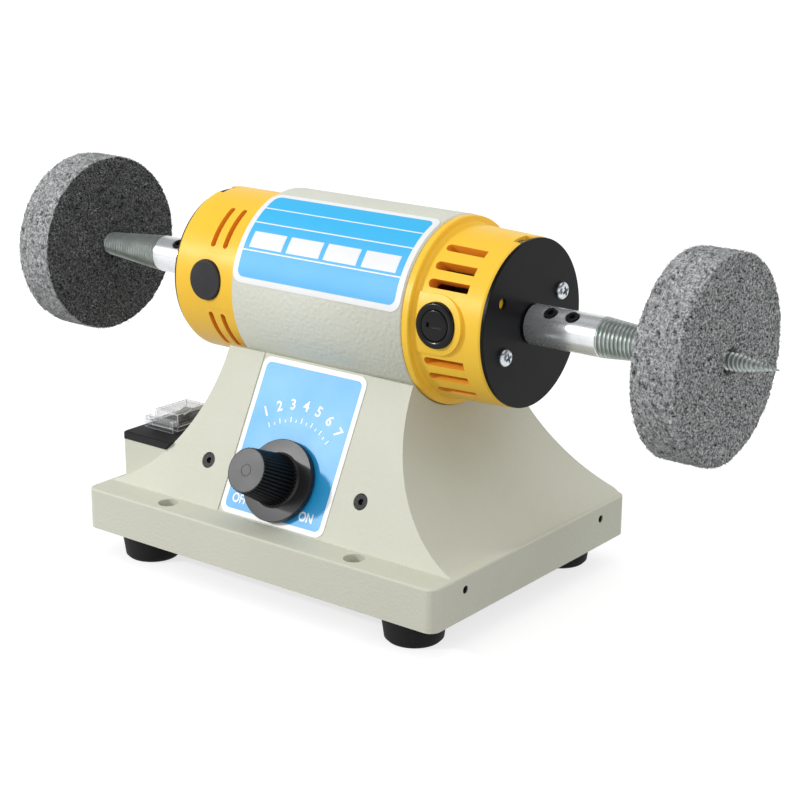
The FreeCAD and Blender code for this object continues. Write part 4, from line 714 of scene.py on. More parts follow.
def moved(bm, matrix):
    bmesh.ops.transform(bm, matrix=matrix, verts=bm.verts)
    return bm


def joined(parts):
    """Several meshes as one."""
    whole = parts[0]
    for part in parts[1:]:
        mesh = bpy.data.meshes.new("part")
        part.to_mesh(mesh)
        part.free()
        whole.from_mesh(mesh)
        bpy.data.meshes.remove(mesh)
    return whole


def repeated(bm, places):
    """Copies of a mesh at several places, as one mesh."""
    copies = [moved(bm.copy(), place) for place in places]
    bm.free()
    return joined(copies)


def cone(r_low, r_high, z_low, z_high, sides):
    """A closed cone along local Z."""
    bm = bmesh.new()
    bmesh.ops.create_cone(bm, cap_ends=True, segments=sides, radius1=r_low, radius2=r_high,
                          depth=z_high - z_low)
    return moved(bm, shift((0, 0, (z_low + z_high) / 2)))


def rod(r, z_low, z_high, sides):
    return cone(r, r, z_low, z_high, sides)


def block(low, high):
    bm = bmesh.new()
    bmesh.ops.create_cube(bm, size=1.0)
    size = [b - a for a, b in zip(low, high)]
    bmesh.ops.scale(bm, vec=size, verts=bm.verts)
    bmesh.ops.translate(bm, vec=[(a + b) / 2 for a, b in zip(low, high)], verts=bm.verts)
    return bm


def carved(bm, cutters):
    """The mesh with the cutters taken out of it."""
    target = as_object("target", bm)
    tools = [as_object("tool", cutter) for cutter in cutters]
    for tool in tools:
        modifier = target.modifiers.new("cut", "BOOLEAN")
        modifier.operation = "DIFFERENCE"
        modifier.solver = "EXACT"
        modifier.object = tool
    result = taken_out(target)
    for tool in tools:
        bpy.data.objects.remove(tool)
    return result


def rounded_sheet(x0, x1, y0, y1, corner, z0, thickness):
    """A flat sheet with round corners, z0 its lower face."""
    bm = bmesh.new()
    bmesh.ops.create_grid(bm, x_segments=1, y_segments=1, size=0.5)
    bmesh.ops.scale(bm, vec=(x1 - x0, y1 - y0, 1), verts=bm.verts)
    bmesh.ops.translate(bm, vec=((x0 + x1) / 2, (y0 + y1) / 2, z0), verts=bm.verts)
    if corner:
        bmesh.ops.bevel(bm, geom=bm.verts[:], offset=corner, offset_type="OFFSET", segments=8,
                        profile=0.5, affect="VERTICES", material=-1)
    raised = bmesh.ops.extrude_face_region(bm, geom=bm.faces[:])
    top = [v for v in raised["geom"] if isinstance(v, bmesh.types.BMVert)]
    bmesh.ops.translate(bm, vec=(0, 0, thickness), verts=top)
    return outward(bm)


def wrapped(x0, x1, a0, a1, corner, r0, thickness):
    """A rounded sheet bent round the motor tube between two angles."""
    scale = radians(1) * TUBE_R
    bm = rounded_sheet(x0, x1, a0 * scale, a1 * scale, corner, r0, thickness)
    cuts = int((a1 - a0) * scale / WRAP_STEP)
    for i in range(1, cuts + 1):
        level = (a0 + (a1 - a0) * i / (cuts + 1)) * scale
        bmesh.ops.bisect_plane(bm, geom=bm.verts[:] + bm.edges[:] + bm.faces[:], dist=1e-5,
                               plane_co=(0, level, 0), plane_no=(0, 1, 0))
    for vert in bm.verts:
        vert.co = axis_point(vert.co.x, vert.co.z, vert.co.y / scale)
    return outward(bm)


def lettering(text, size, place):
    """Raised print of plain letters or numbers."""
    curve = bpy.data.curves.new("print", "FONT")
    curve.body = text
    curve.size = size
    curve.extrude = PRINT_T / 2
    curve.offset = size * PRINT_BOLD
    curve.align_x = "CENTER"
    curve.align_y = "CENTER"
    bm = taken_out(placed("print", curve))
    bmesh.ops.remove_doubles(bm, verts=bm.verts, dist=0.0005)
    return moved(bm, place)


# Casting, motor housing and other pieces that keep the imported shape

def casting():
    """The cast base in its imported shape. Flats and their fillets are shaded level, flanks smooth."""
    bm = node_mesh("base_casting")
    obj = piece("cast_base", bm, "frame", ["cast_cream"], ["base_casting"], CAST_SMOOTH)
    mesh = obj.data
    slope = panel_frame().to_3x3() @ Vector((0, 0, 1))
    faces = [face.normal.copy() for face in mesh.polygons]
    flat = [max(map(abs, way)) > FLAT or abs(way.dot(slope)) > FLAT for way in faces]
    around = [[] for _ in mesh.vertices]
    for face in mesh.polygons:
        for index in face.vertices:
            around[index].append(face.index)
    limit = cos(radians(CAST_SMOOTH))
    normals = []
    for face in mesh.polygons:
        own = faces[face.index]
        for index in face.vertices:
            near = [i for i in around[index] if faces[i].dot(own) > limit]
            level = [faces[i] for i in near if flat[i]]
            shared = {tuple(round(c, 3) for c in faces[i]) for i in near}
            if flat[face.index]:
                normals.append(own)
            elif level:
                normals.append(level[0])
            else:
                normals.append(sum((Vector(c) for c in sorted(shared)), Vector()).normalized())
    mesh.normals_split_custom_set(normals)


def flats_first(obj):
    """Let the larger faces lead the shading of a piece."""
    weighted = obj.modifiers.new("flats_first", "WEIGHTED_NORMAL")
    weighted.keep_sharp = True


def true_normals(obj):
    """Exact normals for a piece turned round the motor axis; its other walls stay flat."""
    normals = []
    for face in obj.data.polygons:
        mid = face.center / MM - AXIS
        out = Vector((0, mid.y, mid.z)).normalized()
        share = face.normal.dot(out)
        for index in face.vertices:
            spot = obj.data.vertices[index].co / MM - AXIS
            spread = Vector((0, spot.y, spot.z)).normalized()
            round_way = (X_AXIS * face.normal.x + spread * share).normalized()
            normals.append(round_way if abs(share) > ROUND_SHARE else face.normal)
    obj.data.normals_split_custom_set(normals)


def bell(side):
    """An end bell, with the walls of its cooling slots in a deeper orange: painted shade and painted bounce
    light from inside the slots.
    """
    bm = node_mesh(side + "_end_bell")
    low, high = SHADED_SLOT_BANDS[side]
    for face in bm.faces:
        mid = face.calc_center_median()
        out = Vector((0, mid.y - AXIS.y, mid.z - AXIS.z)).normalized()
        turn = degrees(atan2(out.z, -out.y)) - CLOCK
        from_line = abs((turn + 90) % 180 - 90)
        in_slot_shade = low < mid.x < high and SHADED_SLOT_ANGLES[0] < from_line < SHADED_SLOT_ANGLES[1]
        # Slot walls take the painted shade finish.
        face.material_index = int(in_slot_shade and abs(face.normal.dot(out)) < 0.5)
    finishes = ["bell_yellow", "bell_shade"]
    obj = piece("bell_" + side, bm, "frame", finishes, [side + "_end_bell"])
    true_normals(obj)


def standing(outline, steps=64):
    """A closed (height, r) outline turned round local Z."""
    return moved(spun(outline, steps), turned(-90, "Y"))


def both_lines(bm):
    """The same piece on the front and the rear brush line."""
    return repeated(bm, [radial_frame(BRUSH_X, CLOCK + turn) for turn in (0, 180)])


def brush_gear():
    seat = BRUSH_TOP - COLLAR_T
    well = BRUSH_TOP - CAP_T
    in_r = CAP_R + CAP_GAP
    collar = standing([
        (HOLDER_END, HOLDER_BORE_R), (HOLDER_END, HOLDER_R), (seat, HOLDER_R), (seat, COLLAR_R),
        (BRUSH_TOP - 0.9, COLLAR_R), (BRUSH_TOP - 0.55, COLLAR_R - 0.08), (BRUSH_TOP - 0.25, COLLAR_R - 0.3),
        (BRUSH_TOP - 0.05, COLLAR_R - 0.7), (BRUSH_TOP, COLLAR_R - 1.1), (BRUSH_TOP - 0.05, in_r + 0.35),
        (BRUSH_TOP - 0.3, in_r + 0.05), (BRUSH_TOP - 0.6, in_r), (well, in_r), (well, HOLDER_BORE_R),
    ])
    piece("brush_collars", both_lines(collar), "frame", ["gloss_black"], ["brush_holders"])
    low = well - CAP_STEM_L
    cap = standing([
        (low, 0), (low, CAP_STEM_R), (well, CAP_STEM_R), (well, CAP_R), (BRUSH_TOP - 0.5, CAP_R),
        (BRUSH_TOP - 0.2, CAP_R - 0.1), (BRUSH_TOP - 0.03, CAP_R - 0.35), (BRUSH_TOP, CAP_R - 0.7),
        (BRUSH_TOP, 0),
    ])
    half_l, half_w = CAP_SLOT_L / 2, CAP_SLOT_W / 2
    slot = block((-half_l, -half_w, BRUSH_TOP - CAP_SLOT_D), (half_l, half_w, BRUSH_TOP + 1))
    caps = both_lines(carved(cap, [slot]))
    obj = piece("brush_screw_caps", caps, "frame", ["gloss_black"], ["brush_caps"])
    soften(obj, FINE_EDGE)


def side_inserts():
    """Short threaded sleeves in the side holes of the base."""
    half = node_box("base_casting")[1].x
    mouth = -INSERT_SINK
    ring = [
        (-INSERT_L, INSERT_BORE_R), (-INSERT_L, INSERT_R), (mouth, INSERT_R),
        (mouth, INSERT_BORE_R + INSERT_CHAMFER), (mouth - INSERT_CHAMFER, INSERT_BORE_R),
    ]
    places = []
    for x, way in ((-half, 180), (half, 0)):
        for y in (-INSERT_Y, INSERT_Y):
            places.append(shift((x, y, INSERT_Z)) @ turned(way, "Z"))
    piece("side_hole_inserts", repeated(spun(ring, 24), places), "frame", ["screw_black"])


# Node, name of its piece, finish and width of its soft edges
KEPT_SHAPES = (
    ("rubber_feet", "rubber_foot_set", "rubber_black", 0.5),
    ("motor_body", "motor_tube", "tube_cream", 0.15),
    ("left_end_plate", "plate_left", "plate_black", 0.2),
    ("right_end_plate", "plate_right", "plate_black", 0.2),
    ("bell_plugs", "blank_plugs", "plug_black", 0.2),
    ("front_screws", "socket_screws", "screw_black", 0.15),
    ("spindle_set_screws", "grub_screws", "screw_black", 0.2),
    ("switch_plate", "switch_cover_plate", "black_plastic", 0.15),
    ("switch_body", "switch_housing", "black_plastic", 0.2),
    ("rocker", "rocker_button", "gloss_black", 0.25),
    ("cover_frame", "clear_frame", "clear_plastic", 0.25),
    ("inlet_grommet", "lead_grommet", "rubber_black", 0.25),
    ("foot_screws", "foot_bolts", "screw_zinc", 0.15),
    ("bottom_cover", "base_cover", "cover_grey", 0.15),
)


def kept_shapes():
    for row in KEPT_SHAPES:
        obj = finished(*row)
        # The clear frame's bevels take the near-white edge finish, a painted highlight.
        if obj.name == "clear_frame":
            obj.data.materials.append(FINISH["clear_edge_painted_highlight"])
            obj.modifiers["soft_edges"].material = 1


# Tapered screw spindles

def crest_r(x):
    """Crest radius of the tapered thread at a distance x from the middle of the machine."""
    if x < THREAD_KNEE:
        return SLEEVE_R - (x - THREAD_START) * (SLEEVE_R - THREAD_KNEE_R) / (THREAD_KNEE - THREAD_START)
    fall = (THREAD_KNEE_R - TIP_R) / (SPINDLE_TIP - THREAD_KNEE)
    return max(TIP_R, THREAD_KNEE_R - (x - THREAD_KNEE) * fall)


def thread_mesh():
    """One helical thread on a cone, from the sleeve to the tip. It is spun on a drum first."""
    start = THREAD_START - 2 * THREAD_PITCH
    turns = int((SPINDLE_TIP - start) / THREAD_PITCH) + 2
    bm = bmesh.new()
    points = [bm.verts.new((start + p * THREAD_PITCH, 0, THREAD_DRUM_R - d)) for p, d in THREAD_SHAPE]
    lines = [bm.edges.new(pair) for pair in zip(points, points[1:])]
    bmesh.ops.spin(bm, geom=points + lines, cent=(0, 0, 0), axis=X_AXIS, angle=tau * turns,
                   dvec=(THREAD_PITCH / THREAD_STEPS, 0, 0), steps=THREAD_STEPS * turns, use_merge=False)
    bmesh.ops.remove_doubles(bm, verts=bm.verts, dist=0.002)
    for vert in bm.verts:
        r = hypot(vert.co.y, vert.co.z)
        crest = crest_r(vert.co.x)
        depth = (THREAD_DRUM_R - r) * min(THREAD_DEPTH, crest / 3)
        vert.co.y *= (crest - depth) / r
        vert.co.z *= (crest - depth) / r
    for x, side in ((THREAD_START, -1), (SPINDLE_TIP, 1)):
        bmesh.ops.bisect_plane(bm, geom=bm.verts[:] + bm.edges[:] + bm.faces[:], dist=1e-4,
                               plane_co=(x, 0, 0), plane_no=(side, 0, 0), clear_outer=True)
        rim = [e for e in bm.edges if e.is_boundary and abs(e.verts[0].co.x - x) < 0.01]
        bmesh.ops.edgeloop_fill(bm, edges=rim)
    return outward(bm)


def sleeve_mesh():
    outline = [
        (SLEEVE_START, BORE_R), (SLEEVE_START, SLEEVE_R - SLEEVE_EDGE),
        (SLEEVE_START + SLEEVE_EDGE * 0.3, SLEEVE_R - SLEEVE_EDGE * 0.3),
        (SLEEVE_START + SLEEVE_EDGE, SLEEVE_R), (THREAD_START - 0.3, SLEEVE_R),
        (THREAD_START, SLEEVE_R - 0.3), (THREAD_START, 0), (BORE_END, 0), (BORE_END, BORE_R),
    ]
    holes = []
    for x in SET_SCREW_XS:
        hole = rod(SET_HOLE_R, 0, 3 * SLEEVE_R, 32)
        mouth = cone(SET_HOLE_R - 0.4, SET_HOLE_R + 3 * SET_CHAMFER, SLEEVE_R - 1.2, SLEEVE_R + 1.2, 32)
        holes += [moved(hole, axis_turn(x)), moved(mouth, axis_turn(x))]
    return carved(spun(outline, 72), holes)


def axis_turn(x):
    """Radial frame of a set screw, about an axis that runs through the origin."""
    return shift((0, -AXIS.y, -AXIS.z)) @ radial_frame(x, SET_SCREW_ANGLE)


def spindles():
    sleeve = sleeve_mesh()
    thread = thread_mesh()
    for side, sign in (("right", 1), ("left", -1)):
        part = outward(moved(sleeve.copy(), on_side(sign)))
        piece(side + "_sleeve", part, "rotor", ["zinc_bright"], [side + "_spindle"], 30.0)
        part = outward(moved(thread.copy(), on_side(sign)))
        piece(side + "_thread", part, "rotor", ["thread_zinc"], (), 24.0)


# Non-woven wheels

def wheel_outline():
    """Closed (x, r) outline of a wheel's section, in steps of one mesh cell."""
    x0, x1 = WHEEL_X[0] + WHEEL_SKIN, WHEEL_X[1] - WHEEL_SKIN
    r1 = WHEEL_R - WHEEL_SKIN
    knots = [(x0, WHEEL_BORE_R), (x0, r1 - WHEEL_ROUND)]
    for cx, first in ((x0 + WHEEL_ROUND, 180.0), (x1 - WHEEL_ROUND, 90.0)):
        for i in range(1, 7):
            a = radians(first - 90.0 * i / 6)
            knots.append((cx + WHEEL_ROUND * cos(a), r1 - WHEEL_ROUND + WHEEL_ROUND * sin(a)))
    knots += [(x1, WHEEL_BORE_R), (x0, WHEEL_BORE_R)]
    outline = []
    for a, b in zip(knots, knots[1:]):
        count = max(1, round(dist(a, b) / WHEEL_STEP))
        for i in range(count):
            outline.append((a[0] + (b[0] - a[0]) * i / count, a[1] + (b[1] - a[1]) * i / count))
    return outline


def mat_relief(place, layers):
    """Height of the mat's surface and how deep a pore is at a place."""
    flat = Vector((place.x, place.y * (1 - 0.6 * layers), place.z * (1 - 0.6 * layers)))
    broad = noise.noise(place / 13) * 0.3
    clumps = noise.noise(flat / 2.2) * 0.4
    fuzz = noise.noise(flat / 0.85) * 0.45
    pit = max(0.0, noise.noise(flat / 1.5 + Vector((40, 0, 0))) - 0.22) * 2.2
    return broad + clumps + fuzz - 0.9 * pit, min(1.0, pit)


def wrap_rim(bm):
    """A UV map that runs round the wheel and along its width."""
    layer = bm.loops.layers.uv.new("round_rim")
    for face in bm.faces:
        turns = [atan2(loop.vert.co.y, loop.vert.co.z) for loop in face.loops]
        last = max(turns)
        for loop, turn in zip(face.loops, turns):
            if last - turn > pi:
                turn += tau
            loop[layer].uv = (turn * WHEEL_R * MM, loop.vert.co.x * MM)


def wheel(side, sign, face_finish):
    bm = spun(wheel_outline(), WHEEL_TURNS)
    layer = bm.verts.layers.float.new("layers")
    pore = bm.verts.layers.float.new("pore")
    bm.normal_update()
    for vert in bm.verts:
        r = hypot(vert.co.y, vert.co.z)
        on_rim = min(1.0, max(0.0, (r - WHEEL_R + WHEEL_ROUND) / WHEEL_ROUND))
        height, pit = mat_relief(vert.co + Vector((0, 0, 200 * sign)), on_rim)
        vert[layer] = on_rim
        # The pore depth later darkens the mat's colour, a painted shade in the pores.
        vert[pore] = pit
        vert.co += vert.normal * min(height, WHEEL_SKIN)
    wrap_rim(bm)
    # The inner face takes its own finish; on the left wheel that finish is darker, a painted shade from the
    # motor.
    for face in bm.faces:
        if face.calc_center_median().x < WHEEL_X[0] + 1.2:
            face.material_index = 1
    outward(moved(bm, on_side(sign)))
    finishes = ["nonwoven", face_finish]
    piece(side + "_wheel_mat", bm, "rotor", finishes, [side + "_wheel"], 180.0)


def strand_points(dice):
    """Three points of a loose strand that grows out of a wheel's rim or of one of its faces."""
    turn = dice.uniform(0, tau)
    out = Vector((0, cos(turn), sin(turn)))
    round_way = Vector((0, -sin(turn), cos(turn)))
    if dice.random() < FIBRE_RIM_SHARE:
        r = WHEEL_R - WHEEL_SKIN
        x = dice.uniform(WHEEL_X[0] + 1.0, WHEEL_X[1] - 1.0)
        corner = min(x - WHEEL_X[0], WHEEL_X[1] - x)
        r -= max(0.0, WHEEL_ROUND - corner) ** 2 / (2.2 * WHEEL_ROUND)
        normal = out
    else:
        r = sqrt(dice.uniform(7.0 ** 2, (WHEEL_R - 1.5) ** 2))
        outer = dice.random() < 0.5
        x = WHEEL_X[1] - WHEEL_SKIN if outer else WHEEL_X[0] + WHEEL_SKIN
        normal = X_AXIS * (1 if outer else -1)
    along = (round_way * dice.gauss(0, 1) + normal.cross(round_way) * dice.gauss(0, 1)).normalized()
    foot = Vector((x, 0, 0)) + out * r - normal * FIBRE_ROOT
    length = dice.uniform(*FIBRE_LENGTH)
    lift = dice.uniform(*FIBRE_LIFT)
    bend = normal.cross(along) * dice.uniform(-0.5, 0.5)
    knee = foot + along * length * 0.5 + normal * lift + bend * 0.5
    return foot, knee, foot + along * length + normal * lift * dice.uniform(0.2, 1.2) + bend


def wheel_fibres(side, sign):
    """Loose strands that stand out of a wheel's rim and faces."""
    dice = random.Random(FIBRE_SEED + sign)
    curve = bpy.data.curves.new("strands", "CURVE")
    curve.dimensions = "3D"
    curve.bevel_depth = FIBRE_R
    curve.bevel_resolution = 0
    for _ in range(FIBRE_COUNT):
        points = strand_points(dice)
        strand = curve.splines.new("POLY")
        strand.points.add(len(points) - 1)
        for point, place in zip(strand.points, points):
            point.co = (*place, 1)
    bm = outward(moved(taken_out(placed("strands", curve)), on_side(sign)))
    piece(side + "_wheel_fibres", bm, "rotor", ["fibre_light"], (), 60.0)


# Speed knob

def knob_grip():
    """Fluted grip with a domed edge and a small ring on its cap."""
    bm = bmesh.new()
    bmesh.ops.create_circle(bm, cap_ends=False, segments=FLUTES * FLUTE_POINTS, radius=1.0)
    row = bm.verts[:]
    ring = bm.edges[:]
    levels = [(GRIP_FOOT - 0.8, GRIP_FOOT_R, 0.0), (GRIP_FOOT + 0.3, GRIP_FOOT_R, 0.0),
              (GRIP_FOOT + 0.9, GRIP_FOOT_R - 0.1, 1.0), (GRIP_TOP - 0.9, GRIP_TOP_R, 1.0),
              (GRIP_TOP - 0.35, GRIP_TOP_R - 0.08, 0.5), (GRIP_TOP - 0.1, GRIP_TOP_R - 0.35, 0.0),
              (GRIP_TOP, GRIP_TOP_R - 0.8, 0.0)]
    for i, (z, r, flute) in enumerate(levels):
        if i:
            grown = bmesh.ops.extrude_edge_only(bm, edges=ring)["geom"]
            ring = [g for g in grown if isinstance(g, bmesh.types.BMEdge)]
            row = [g for g in grown if isinstance(g, bmesh.types.BMVert)]
        for vert in row:
            turn = atan2(vert.co.y, vert.co.x)
            wave = abs(sin(turn * FLUTES / 2))
            dip = FLUTE_DEPTH * flute * (1 - wave ** 0.8)
            vert.co = Vector((cos(turn) * (r - dip), sin(turn) * (r - dip), z))
    cap = bmesh.ops.edgeloop_fill(bm, edges=ring)["faces"]
    for step, z in ((0.25, 0), (0.12, 0.12), (-0.12, 0.12), (-0.25, 0)):
        size = max(v.co.xy.length for v in cap[0].verts)
        bmesh.ops.inset_region(bm, faces=cap, thickness=size - CAP_RING_R - step, depth=0)
        for vert in cap[0].verts:
            vert.co.z = GRIP_TOP + z
    for face in bm.faces:
        face.material_index = 0 if face.calc_center_median().z > GRIP_TOP - 0.3 else 1
    return outward(bm)


def knob():
    skirt = [
        (SKIRT_FROM, KNOB_HOLLOW_R), (SKIRT_FROM, SKIRT_R - 0.4), (SKIRT_FROM + 0.3, SKIRT_R),
        (SKIRT_TO - 0.3, SKIRT_R), (SKIRT_TO - 0.08, SKIRT_R - 0.08), (SKIRT_TO, SKIRT_R - 0.3),
        (SKIRT_TO + 0.35, GRIP_FOOT_R + 0.7), (GRIP_FOOT, GRIP_FOOT_R + 0.3),
        (GRIP_FOOT + 0.5, GRIP_FOOT_R - 0.4),
        (GRIP_FOOT + 0.5, 0), (KNOB_HOLLOW_H, 0), (KNOB_HOLLOW_H, KNOB_HOLLOW_R),
    ]
    foot = standing(skirt, 120)
    for face in foot.faces:
        face.material_index = 2
    whole = moved(joined([foot, knob_grip()]), panel_frame())
    finishes = ["knob_face", "knob_flute", "knob_skirt"]
    flats_first(piece("knob_cap", whole, "knob", finishes, ["speed_knob"], 30.0))


# Labels

def label_layer(name, finish, border, corner, low, thickness, stands_for=()):
    """One layer of the front label, with the hole for the knob's shaft."""
    half = LABEL_W / 2 - border
    sheet = rounded_sheet(-half, half, LABEL_LOW + border, LABEL_HIGH - border, corner, low, thickness)
    sheet = carved(sheet, [rod(LABEL_HOLE_R, -5, 5, 64)])
    return piece(name, moved(sheet, panel_frame()), "frame", [finish], stands_for)


def dial_turn(step, steps):
    """Turn of a step of the dial from straight up the panel."""
    return turned(DIAL_FROM + (DIAL_TO - DIAL_FROM) * step / steps - 90, "Z")


def front_label():
    base = label_layer("panel_label", "label_white", 0, LABEL_ROUND, LABEL_FACE - LABEL_T, LABEL_T,
                       ["front_panel_label"])
    soften(base, FINE_EDGE)
    label_layer("panel_label_colour", "panel_blue", LABEL_BORDER, LABEL_BLUE_ROUND, LABEL_FACE, PRINT_T)
    level = LABEL_FACE + PRINT_T
    prints = []
    for i in range(DIAL_NUMBERS):
        place = dial_turn(i, DIAL_NUMBERS - 1) @ shift((0, DIAL_R, level + PRINT_T / 2))
        prints.append(lettering(str(i + 1), DIAL_SIZE, place))
    steps = 2 * (DIAL_NUMBERS - 1)
    for i in range(steps + 1):
        tick = rounded_sheet(-TICK_W / 2, TICK_W / 2, 0, TICK_LENGTHS[i % 2], 0, level, PRINT_T)
        prints.append(moved(tick, dial_turn(i, steps) @ shift((0, TICK_R, 0))))
    for word, u, v in WORD_PLACES:
        place = shift((u, v, level + PRINT_T / 2)) @ Matrix.Scale(WORD_NARROW, 4, X_AXIS)
        prints.append(lettering(word, WORD_SIZE, place))
    piece("panel_label_print", moved(joined(prints), panel_frame()), "frame", ["label_white"])


def body_label():
    face = TUBE_R + BODY_LABEL_T
    sheet = wrapped(*BODY_LABEL_X, *BODY_LABEL_ANGLES, BODY_LABEL_ROUND, TUBE_R + 0.01, BODY_LABEL_T - 0.01)
    piece("tube_label", sheet, "frame", ["label_white"], ["body_label"], 60.0)
    sheet = wrapped(*BODY_BLUE_X, *BODY_BLUE_ANGLES, BODY_BLUE_ROUND, face, PRINT_T)
    piece("tube_label_colour", sheet, "frame", ["body_blue"], (), 60.0)
    half = SEPARATOR_W / 2 / TUBE_R / radians(1)
    prints = []
    for angle in SEPARATOR_ANGLES:
        prints.append(wrapped(*BODY_BLUE_X, angle - half, angle + half, 0, face + PRINT_T, PRINT_T))
    for x0, x1 in BOX_XS:
        prints.append(wrapped(x0, x1, *BOX_ANGLES, 0, face + PRINT_T, PRINT_T))
    piece("tube_label_print", joined(prints), "frame", ["label_white"], (), 60.0)


# Screws with a cross recess

def pan_head():
    """A pan-head screw along X, its seat at x = 0."""
    dome = [(0, PAN_SHANK_R), (0, PAN_R), (PAN_RIM, PAN_R)]
    for i in range(1, PAN_STEPS):
        a = radians(90 * i / PAN_STEPS)
        dome.append((PAN_RIM + (PAN_H - PAN_RIM) * sin(a), PAN_R * (0.35 + 0.65 * cos(a))))
    dome += [(PAN_H, 0), (-PAN_SHANK_L, 0), (-PAN_SHANK_L, PAN_SHANK_R)]
    arms = []
    for turn in (0, 90):
        arm = block((PAN_H - PAN_CROSS_D, -PAN_CROSS_L, -PAN_CROSS_W / 2),
                    (PAN_H + 2, PAN_CROSS_L, PAN_CROSS_W / 2))
        for vert in arm.verts:
            if vert.co.x < PAN_H:
                vert.co.y *= PAN_CROSS_TAPER
        arms.append(moved(arm, turned(turn + PAN_CROSS_TURN, "X")))
    return carved(spun(dome, 48), arms)


def plate_screws():
    places = []
    for x, way in ((PLATE_RIGHT, 0), (PLATE_LEFT, 180)):
        for angle in PAN_ANGLES:
            places.append(shift(axis_point(x, PAN_PCR, angle)) @ turned(way, "Z"))
    heads = repeated(pan_head(), places)
    obj = piece("pan_screws", heads, "frame", ["screw_zinc"], ["end_plate_screws"], 30.0)
    soften(obj, FINE_EDGE)


# Switch

def flip_cover():
    """Clear dome on a hinge bar."""
    half = DOME_X / 2
    dome = block((-half, DOME_FRONT, DOME_LOW), (half, DOME_BACK, DOME_FRONT_TOP))
    for vert in dome.verts:
        if vert.co.z > DOME_LOW + 1 and vert.co.y > DOME_BACK - 1:
            vert.co.z = DOME_BACK_TOP
    upper = [e for e in dome.edges if max(v.co.z for v in e.verts) > DOME_LOW + 1]
    bmesh.ops.bevel(dome, geom=upper, offset=DOME_ROUND, offset_type="OFFSET", segments=5, profile=0.5,
                    affect="EDGES", material=-1)
    dome.normal_update()
    # Faces that turn round the dome's rounded edges take the near-white edge finish, a painted highlight.
    for face in dome.faces:
        face.material_index = int(max(map(abs, face.normal)) < HIGHLIGHT_EDGE_TURN)
    under = [f for f in dome.faces if f.normal.z < -0.9]
    bmesh.ops.delete(dome, geom=under, context="FACES")
    outward(dome)
    bmesh.ops.solidify(dome, geom=dome.faces[:], thickness=DOME_WALL)
    hinge = joint("cover_flip")[0]
    low, high = node_box("cover_frame")
    reach = (high.x - low.x) / 2 - LUG_W - HINGE_GAP
    bar = moved(rod(HINGE_BAR_R, -reach, reach, 24), shift((0, hinge.y, hinge.z)) @ turned(90, "Y"))
    web = block((-reach, hinge.y, hinge.z - HINGE_WEB_T / 2),
                (reach, DOME_FRONT + DOME_WALL / 2, hinge.z + HINGE_WEB_T / 2))
    whole = moved(joined([dome, bar, web]), shift((SWITCH_X, 0, 0)))
    finishes = ["clear_plastic", "clear_edge_painted_highlight"]
    piece("clear_cover", whole, "cover", finishes, ["flip_cover"], 35.0)


def rocker_mark():
    """Printed line across the rocker near its raised end."""
    line = rounded_sheet(*MARK_SIDES, 0, MARK_Z, MARK_T)
    moved(line, shift(joint("rocker_tilt")[0]) @ turned(MARK_TILT, "X"))
    piece("rocker_line", line, "rocker_key", ["label_white"])


# Camera, lamps and floor

def photo_camera():
    data = bpy.data.cameras.new("photo_camera")
    data.lens = CAMERA_LENS
    data.sensor_width = 36.0
    data.clip_start = 0.01
    data.clip_end = 100.0
    obj = placed("photo_camera", data)
    aim = turned(CAMERA_YAW, "Z") @ turned(90 - CAMERA_PITCH, "X") @ turned(CAMERA_ROLL, "Z")
    obj.matrix_world = shift(Vector(CAMERA_PLACE) * MM) @ aim
    bpy.context.scene.camera = obj


def key_lamp():
    data = bpy.data.lights.new("key", "AREA")
    data.shape = "DISK"
    data.size = KEY_SIZE * MM
    data.energy = KEY_POWER
    spot = Vector(KEY_PLACE) * MM
    aim = Vector(KEY_AIM) * MM - spot
    obj = placed("key", data)
    obj.matrix_world = shift(spot) @ aim.to_track_quat("-Z", "Y").to_matrix().to_4x4()


def seen_directly(tree):
    """1 for rays from the camera, mirrors and clear pieces."""
    path = add(tree, "ShaderNodeLightPath")
    seen = maths(tree, "MAXIMUM", path.outputs["Is Camera Ray"], path.outputs["Is Glossy Ray"])
    return maths(tree, "MAXIMUM", seen, path.outputs["Is Transmission Ray"])


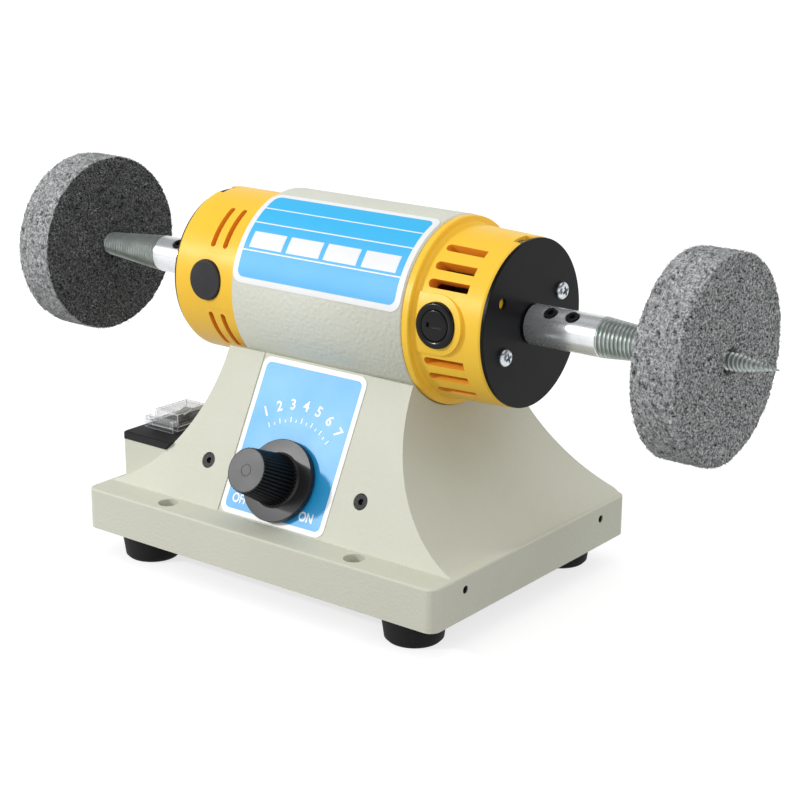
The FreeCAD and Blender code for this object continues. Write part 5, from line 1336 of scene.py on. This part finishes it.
def surroundings():
    """A pale sky for the light, white for the camera, and a dark band and a softbox for mirrors."""
    world = bpy.data.worlds.new("studio")
    bpy.context.scene.world = world
    world.use_nodes = True
    tree = world.node_tree
    tree.nodes.clear()
    place = add(tree, "ShaderNodeTexCoord").outputs["Generated"]
    split = add(tree, "ShaderNodeSeparateXYZ", {"Vector": place}).outputs
    sideways = maths(tree, "MULTIPLY", split["X"], SKY_SIDE)
    level = maths(tree, "ADD", ranged(tree, split["Z"], 0.0, 1.0, SKY_LOW, SKY_TOP), sideways)
    plain = add(tree, "ShaderNodeBackground", {"Color": WHITE, "Strength": level})
    mirrored = add(tree, "ShaderNodeLightPath").outputs["Is Glossy Ray"]
    bands = ramped(tree, split["Z"], [(at, (grey, grey, grey, 1)) for at, grey in SKY_BANDS])
    near = add(tree, "ShaderNodeVectorMath", {0: place, 1: Vector(KEY_PLACE).normalized()},
               operation="DOT_PRODUCT").outputs["Value"]
    glow = maths(tree, "MULTIPLY", ranged(tree, near, *SOFTBOX_SPAN, 0.0, SOFTBOX), mirrored)
    tone = mixed(tree, mirrored, WHITE, bands)
    brightness = maths(tree, "ADD", glow, 1.0)
    shown = add(tree, "ShaderNodeBackground", {"Color": tone, "Strength": brightness})
    parts = {0: seen_directly(tree), 1: plain.outputs[0], 2: shown.outputs[0]}
    choice = add(tree, "ShaderNodeMixShader", parts)
    add(tree, "ShaderNodeOutputWorld", {"Surface": choice.outputs[0]})


def floor():
    bm = bmesh.new()
    bmesh.ops.create_grid(bm, x_segments=1, y_segments=1, size=FLOOR_SIZE / 2 * MM)
    obj = as_object("floor", bm)
    material, tree, _ = new_material("floor_white")
    tree.nodes.clear()
    matt = add(tree, "ShaderNodeBsdfDiffuse", {"Color": (FLOOR_TONE, FLOOR_TONE, FLOOR_TONE, 1)})
    shown = maths(tree, "MULTIPLY", seen_directly(tree), FLOOR_LIFT)
    lift = add(tree, "ShaderNodeEmission", {"Strength": shown})
    both = add(tree, "ShaderNodeAddShader", {0: matt.outputs[0], 1: lift.outputs[0]})
    add(tree, "ShaderNodeOutputMaterial", {"Surface": both.outputs[0]})
    obj.data.materials.append(material)


def build():
    dress_frame()
    casting()
    kept_shapes()
    bell("left")
    bell("right")
    brush_gear()
    side_inserts()
    spindles()
    # The left wheel's inner face gets the darker mat, painted shade from the motor.
    for side, sign, face_finish in (("right", 1, "nonwoven"), ("left", -1, "nonwoven_painted_shade")):
        wheel(side, sign, face_finish)
        wheel_fibres(side, sign)
    knob()
    front_label()
    body_label()
    plate_screws()
    flip_cover()
    rocker_mark()
    photo_camera()
    key_lamp()
    surroundings()
    floor()
    bpy.context.scene.view_settings.view_transform = "Standard"


build()
